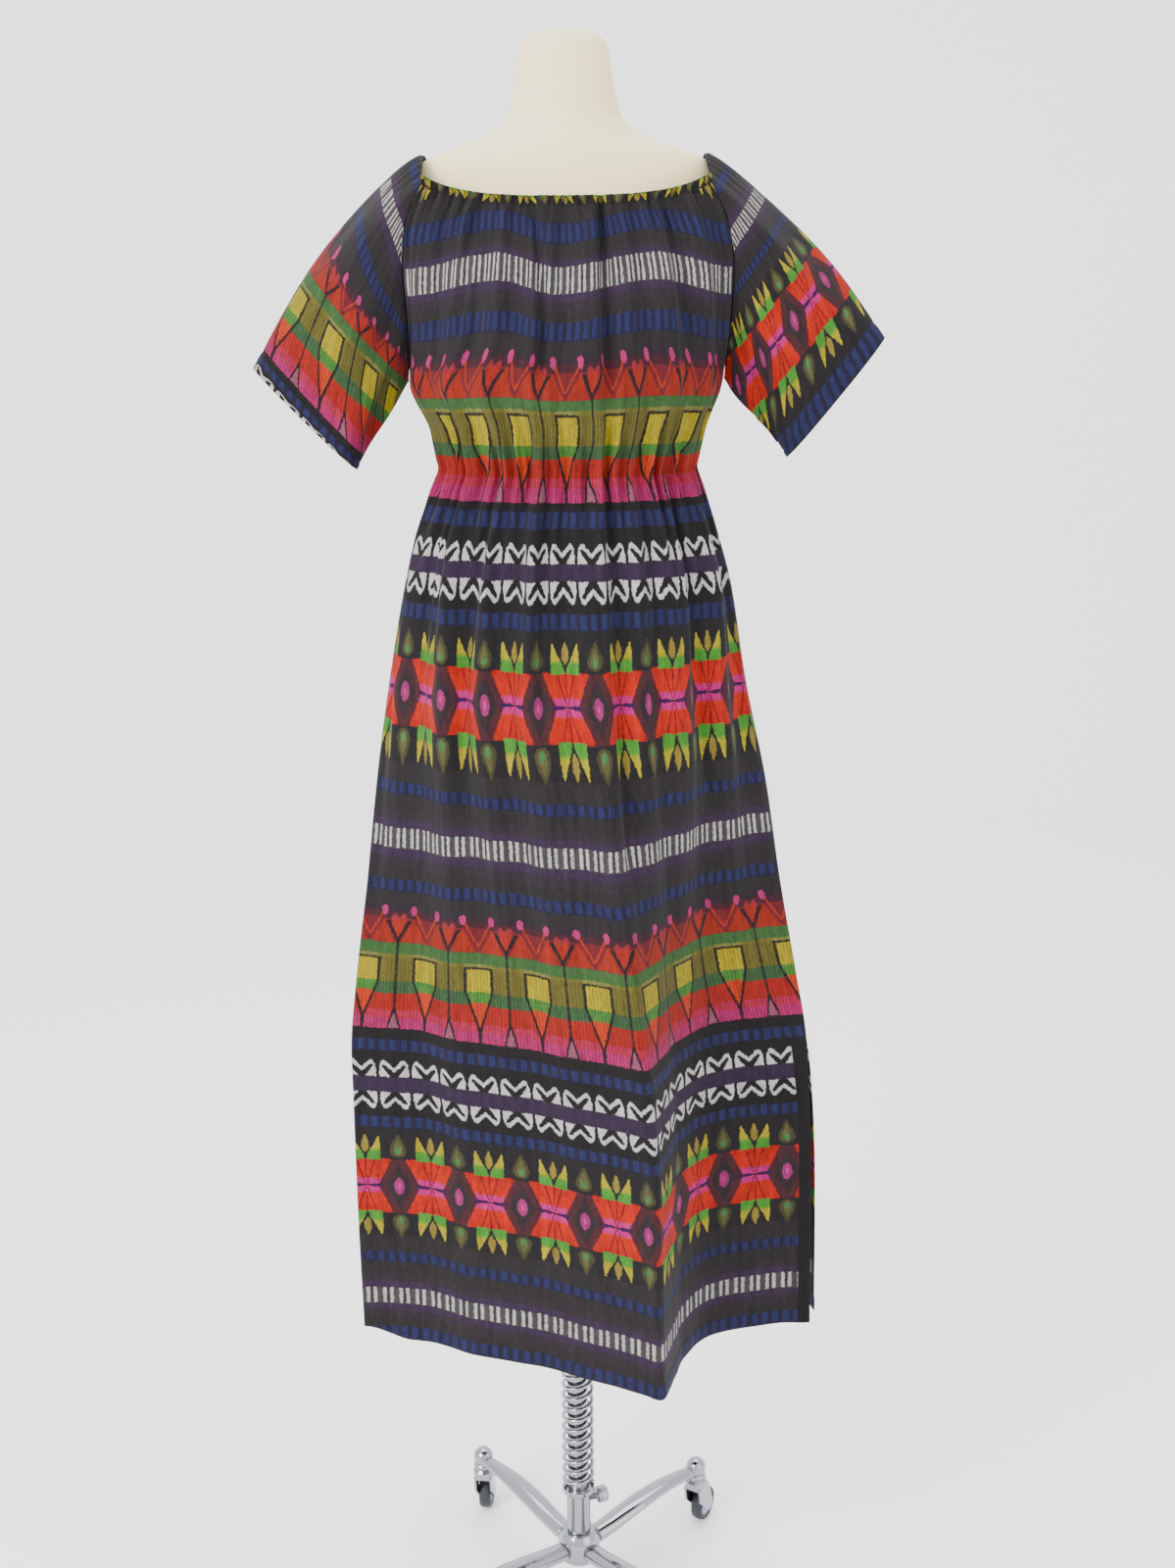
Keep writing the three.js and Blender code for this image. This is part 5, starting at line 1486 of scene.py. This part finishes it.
    def leg_and_caster(self, caster: Caster, chrome: Material, rubber: Material, nylon: Material) -> None:
        """Makes one leg with its caster's wheel, and dresses the caster's yoke."""
        way = caster.azimuth + self.leg_turn
        knob = placed(self.knob_grid(), move=(self.leg_reach, 0, 0))
        leg = closed_object(f"leg_arm_{caster.name}", [placed(self.leg_grid(), way), placed(knob, way)])
        self.finish(leg, chrome, "chrome", "base", f"leg_{caster.name}")
        turned, trail = math.radians(way), math.radians(caster.trail)
        axle = (
            self.leg_reach * math.cos(turned) + self.trail_length * math.cos(trail),
            self.leg_reach * math.sin(turned) + self.trail_length * math.sin(trail),
            self.wheel_radius * math.cos(math.pi / self.wheel_sides),
        )
        tyre, centre = (placed(grid, caster.trail, axle) for grid in self.wheel_grids())
        body = f"wheel_{caster.name}"
        tyre_piece = closed_object(f"tyre_{caster.name}", [tyre])
        self.finish(tyre_piece, rubber, "tyre", body, f"caster_wheel_{caster.name}")
        self.finish(closed_object(f"wheel_centre_{caster.name}", [centre]), nylon, "tyre", body)
        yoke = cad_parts[f"caster_yoke_{caster.name}"]
        yoke.data.materials.clear()
        yoke.data.materials.append(chrome)

    def clamp(self, chrome: Material) -> None:
        """Makes the knurled height clamp: a turned knob whose rim has fine grooves along it."""
        profile = ((0, 0), (4, 0), (4, 9), (8.5, 9), (9.5, 11), (9.5, 19), (8.5, 21), (3, 21.6), (0, 21))
        knob = turned_grid(profile, 144)
        rim = (np.abs(knob[..., 2] - 15) < 5)[..., None]
        angle = np.arctan2(knob[..., 1], knob[..., 0])[..., None]
        knob[..., :2] *= 1 - 0.035 * rim * (0.5 + 0.5 * np.cos(36 * angle))
        lying = knob @ np.array([[0, 0, 1], [0, 1, 0], [-1, 0, 0]], float).T
        way = math.radians(self.clamp_azimuth)
        start = (13.9 * math.cos(way), 13.9 * math.sin(way), self.clamp_height)
        piece = closed_object("clamp_knob", [placed(lying, self.clamp_azimuth, start)])
        self.finish(piece, chrome, "chrome", "clamp", "clamp_screw")

    def build(self) -> None:
        """Makes and dresses every piece of the stand."""
        chrome, rubber, nylon = self.chrome.material(), self.rubber.material(), self.nylon.material()
        self.turned_pieces(chrome)
        self.spring(chrome)
        for caster in self.casters:
            self.leg_and_caster(caster, chrome, rubber, nylon)
        self.clamp(chrome)


# ------------------------------------------------------------------ the room
@dataclass
class Studio:
    """A pale floor, soft lights and the camera."""

    camera_place: tuple[float, float, float] = (0.017, -1.8, 1.463)
    camera_pitch: float = 14.8
    camera_roll: float = -0.46
    lens: float = 41.085
    wall_y: float = 5000.0
    wall_curve: float = 1800.0
    floor: PaleFloor = field(default_factory=PaleFloor)

    def build(self) -> None:
        """Makes the room."""
        self.camera()
        self.lights()
        self.sweep()

    def sweep(self) -> None:
        """Makes the floor, which curves up far behind the stand into a wall of the same paint."""
        reach, turn, top = self.wall_y - self.wall_curve, self.wall_curve, 7000.0
        arc = np.linspace(0, np.pi / 2, 25)
        y = np.concatenate([[-9000], reach + turn * np.sin(arc), [self.wall_y]])
        z = np.concatenate([[0], turn * (1 - np.cos(arc)), [top]]) - 0.5
        x = np.array([-12000.0, 12000.0])
        grid = np.stack([x + 0 * y[:, None], y[:, None] + 0 * x, z[:, None] + 0 * x], axis=2)
        faces, _, _ = grid_quads(len(y), 2, False)
        floor = mesh_object("floor", grid.reshape(-1, 3), faces[:, ::-1])
        floor.data.materials.append(self.floor.material())

    def camera(self) -> None:
        """Makes the camera: level with the chest, looking down a little."""
        data = bpy.data.cameras.new("camera")
        data.lens = self.lens
        data.sensor_width = 36.0
        camera = bpy.data.objects.new("camera", data)
        camera.location = self.camera_place
        pitch = Matrix.Rotation(math.radians(90 - self.camera_pitch), 3, "X")
        roll = Matrix.Rotation(math.radians(self.camera_roll), 3, "Z")
        camera.rotation_mode = "QUATERNION"
        camera.rotation_quaternion = (pitch @ roll).to_quaternion()
        bpy.context.scene.collection.objects.link(camera)
        bpy.context.scene.camera = camera

    def lights(self) -> None:
        """Makes the world's even light and three large soft lamps."""
        world = bpy.data.worlds.new("soft_room")
        world.use_nodes = True
        bpy.context.scene.world = world
        background = world.node_tree.nodes["Background"]
        background.inputs["Color"].default_value = linear("#F4F5F8")
        background.inputs["Strength"].default_value = 2.1
        lamps = (
            ("window", (-2.6, -2.8, 2.9), 2.2, 240.0, "#FFFFFF"),
            ("fill", (2.8, -2.4, 1.9), 2.6, 46.0, "#FFFBF4"),
            ("ceiling", (0.2, 0.6, 4.2), 3.0, 100.0, "#FFFFFF"),
        )
        for name, place, size, power, colour in lamps:
            data = bpy.data.lights.new(name, "AREA")
            data.size = size
            data.energy = power
            data.color = linear(colour)[:3]
            lamp = bpy.data.objects.new(name, data)
            lamp.location = place
            aim = Vector((0, 0, 0.95)) - Vector(place)
            lamp.rotation_mode = "QUATERNION"
            lamp.rotation_quaternion = aim.to_track_quat("-Z", "Y")
            bpy.context.scene.collection.objects.link(lamp)


def main() -> None:
    """Makes the room, the stand, the form and the dress."""
    logging.basicConfig(level=logging.INFO, format="%(name)s: %(message)s")
    Studio().build()
    Stand().build()
    DressForm().build()
    Dress().build()


if __name__ == "__main__":
    main()
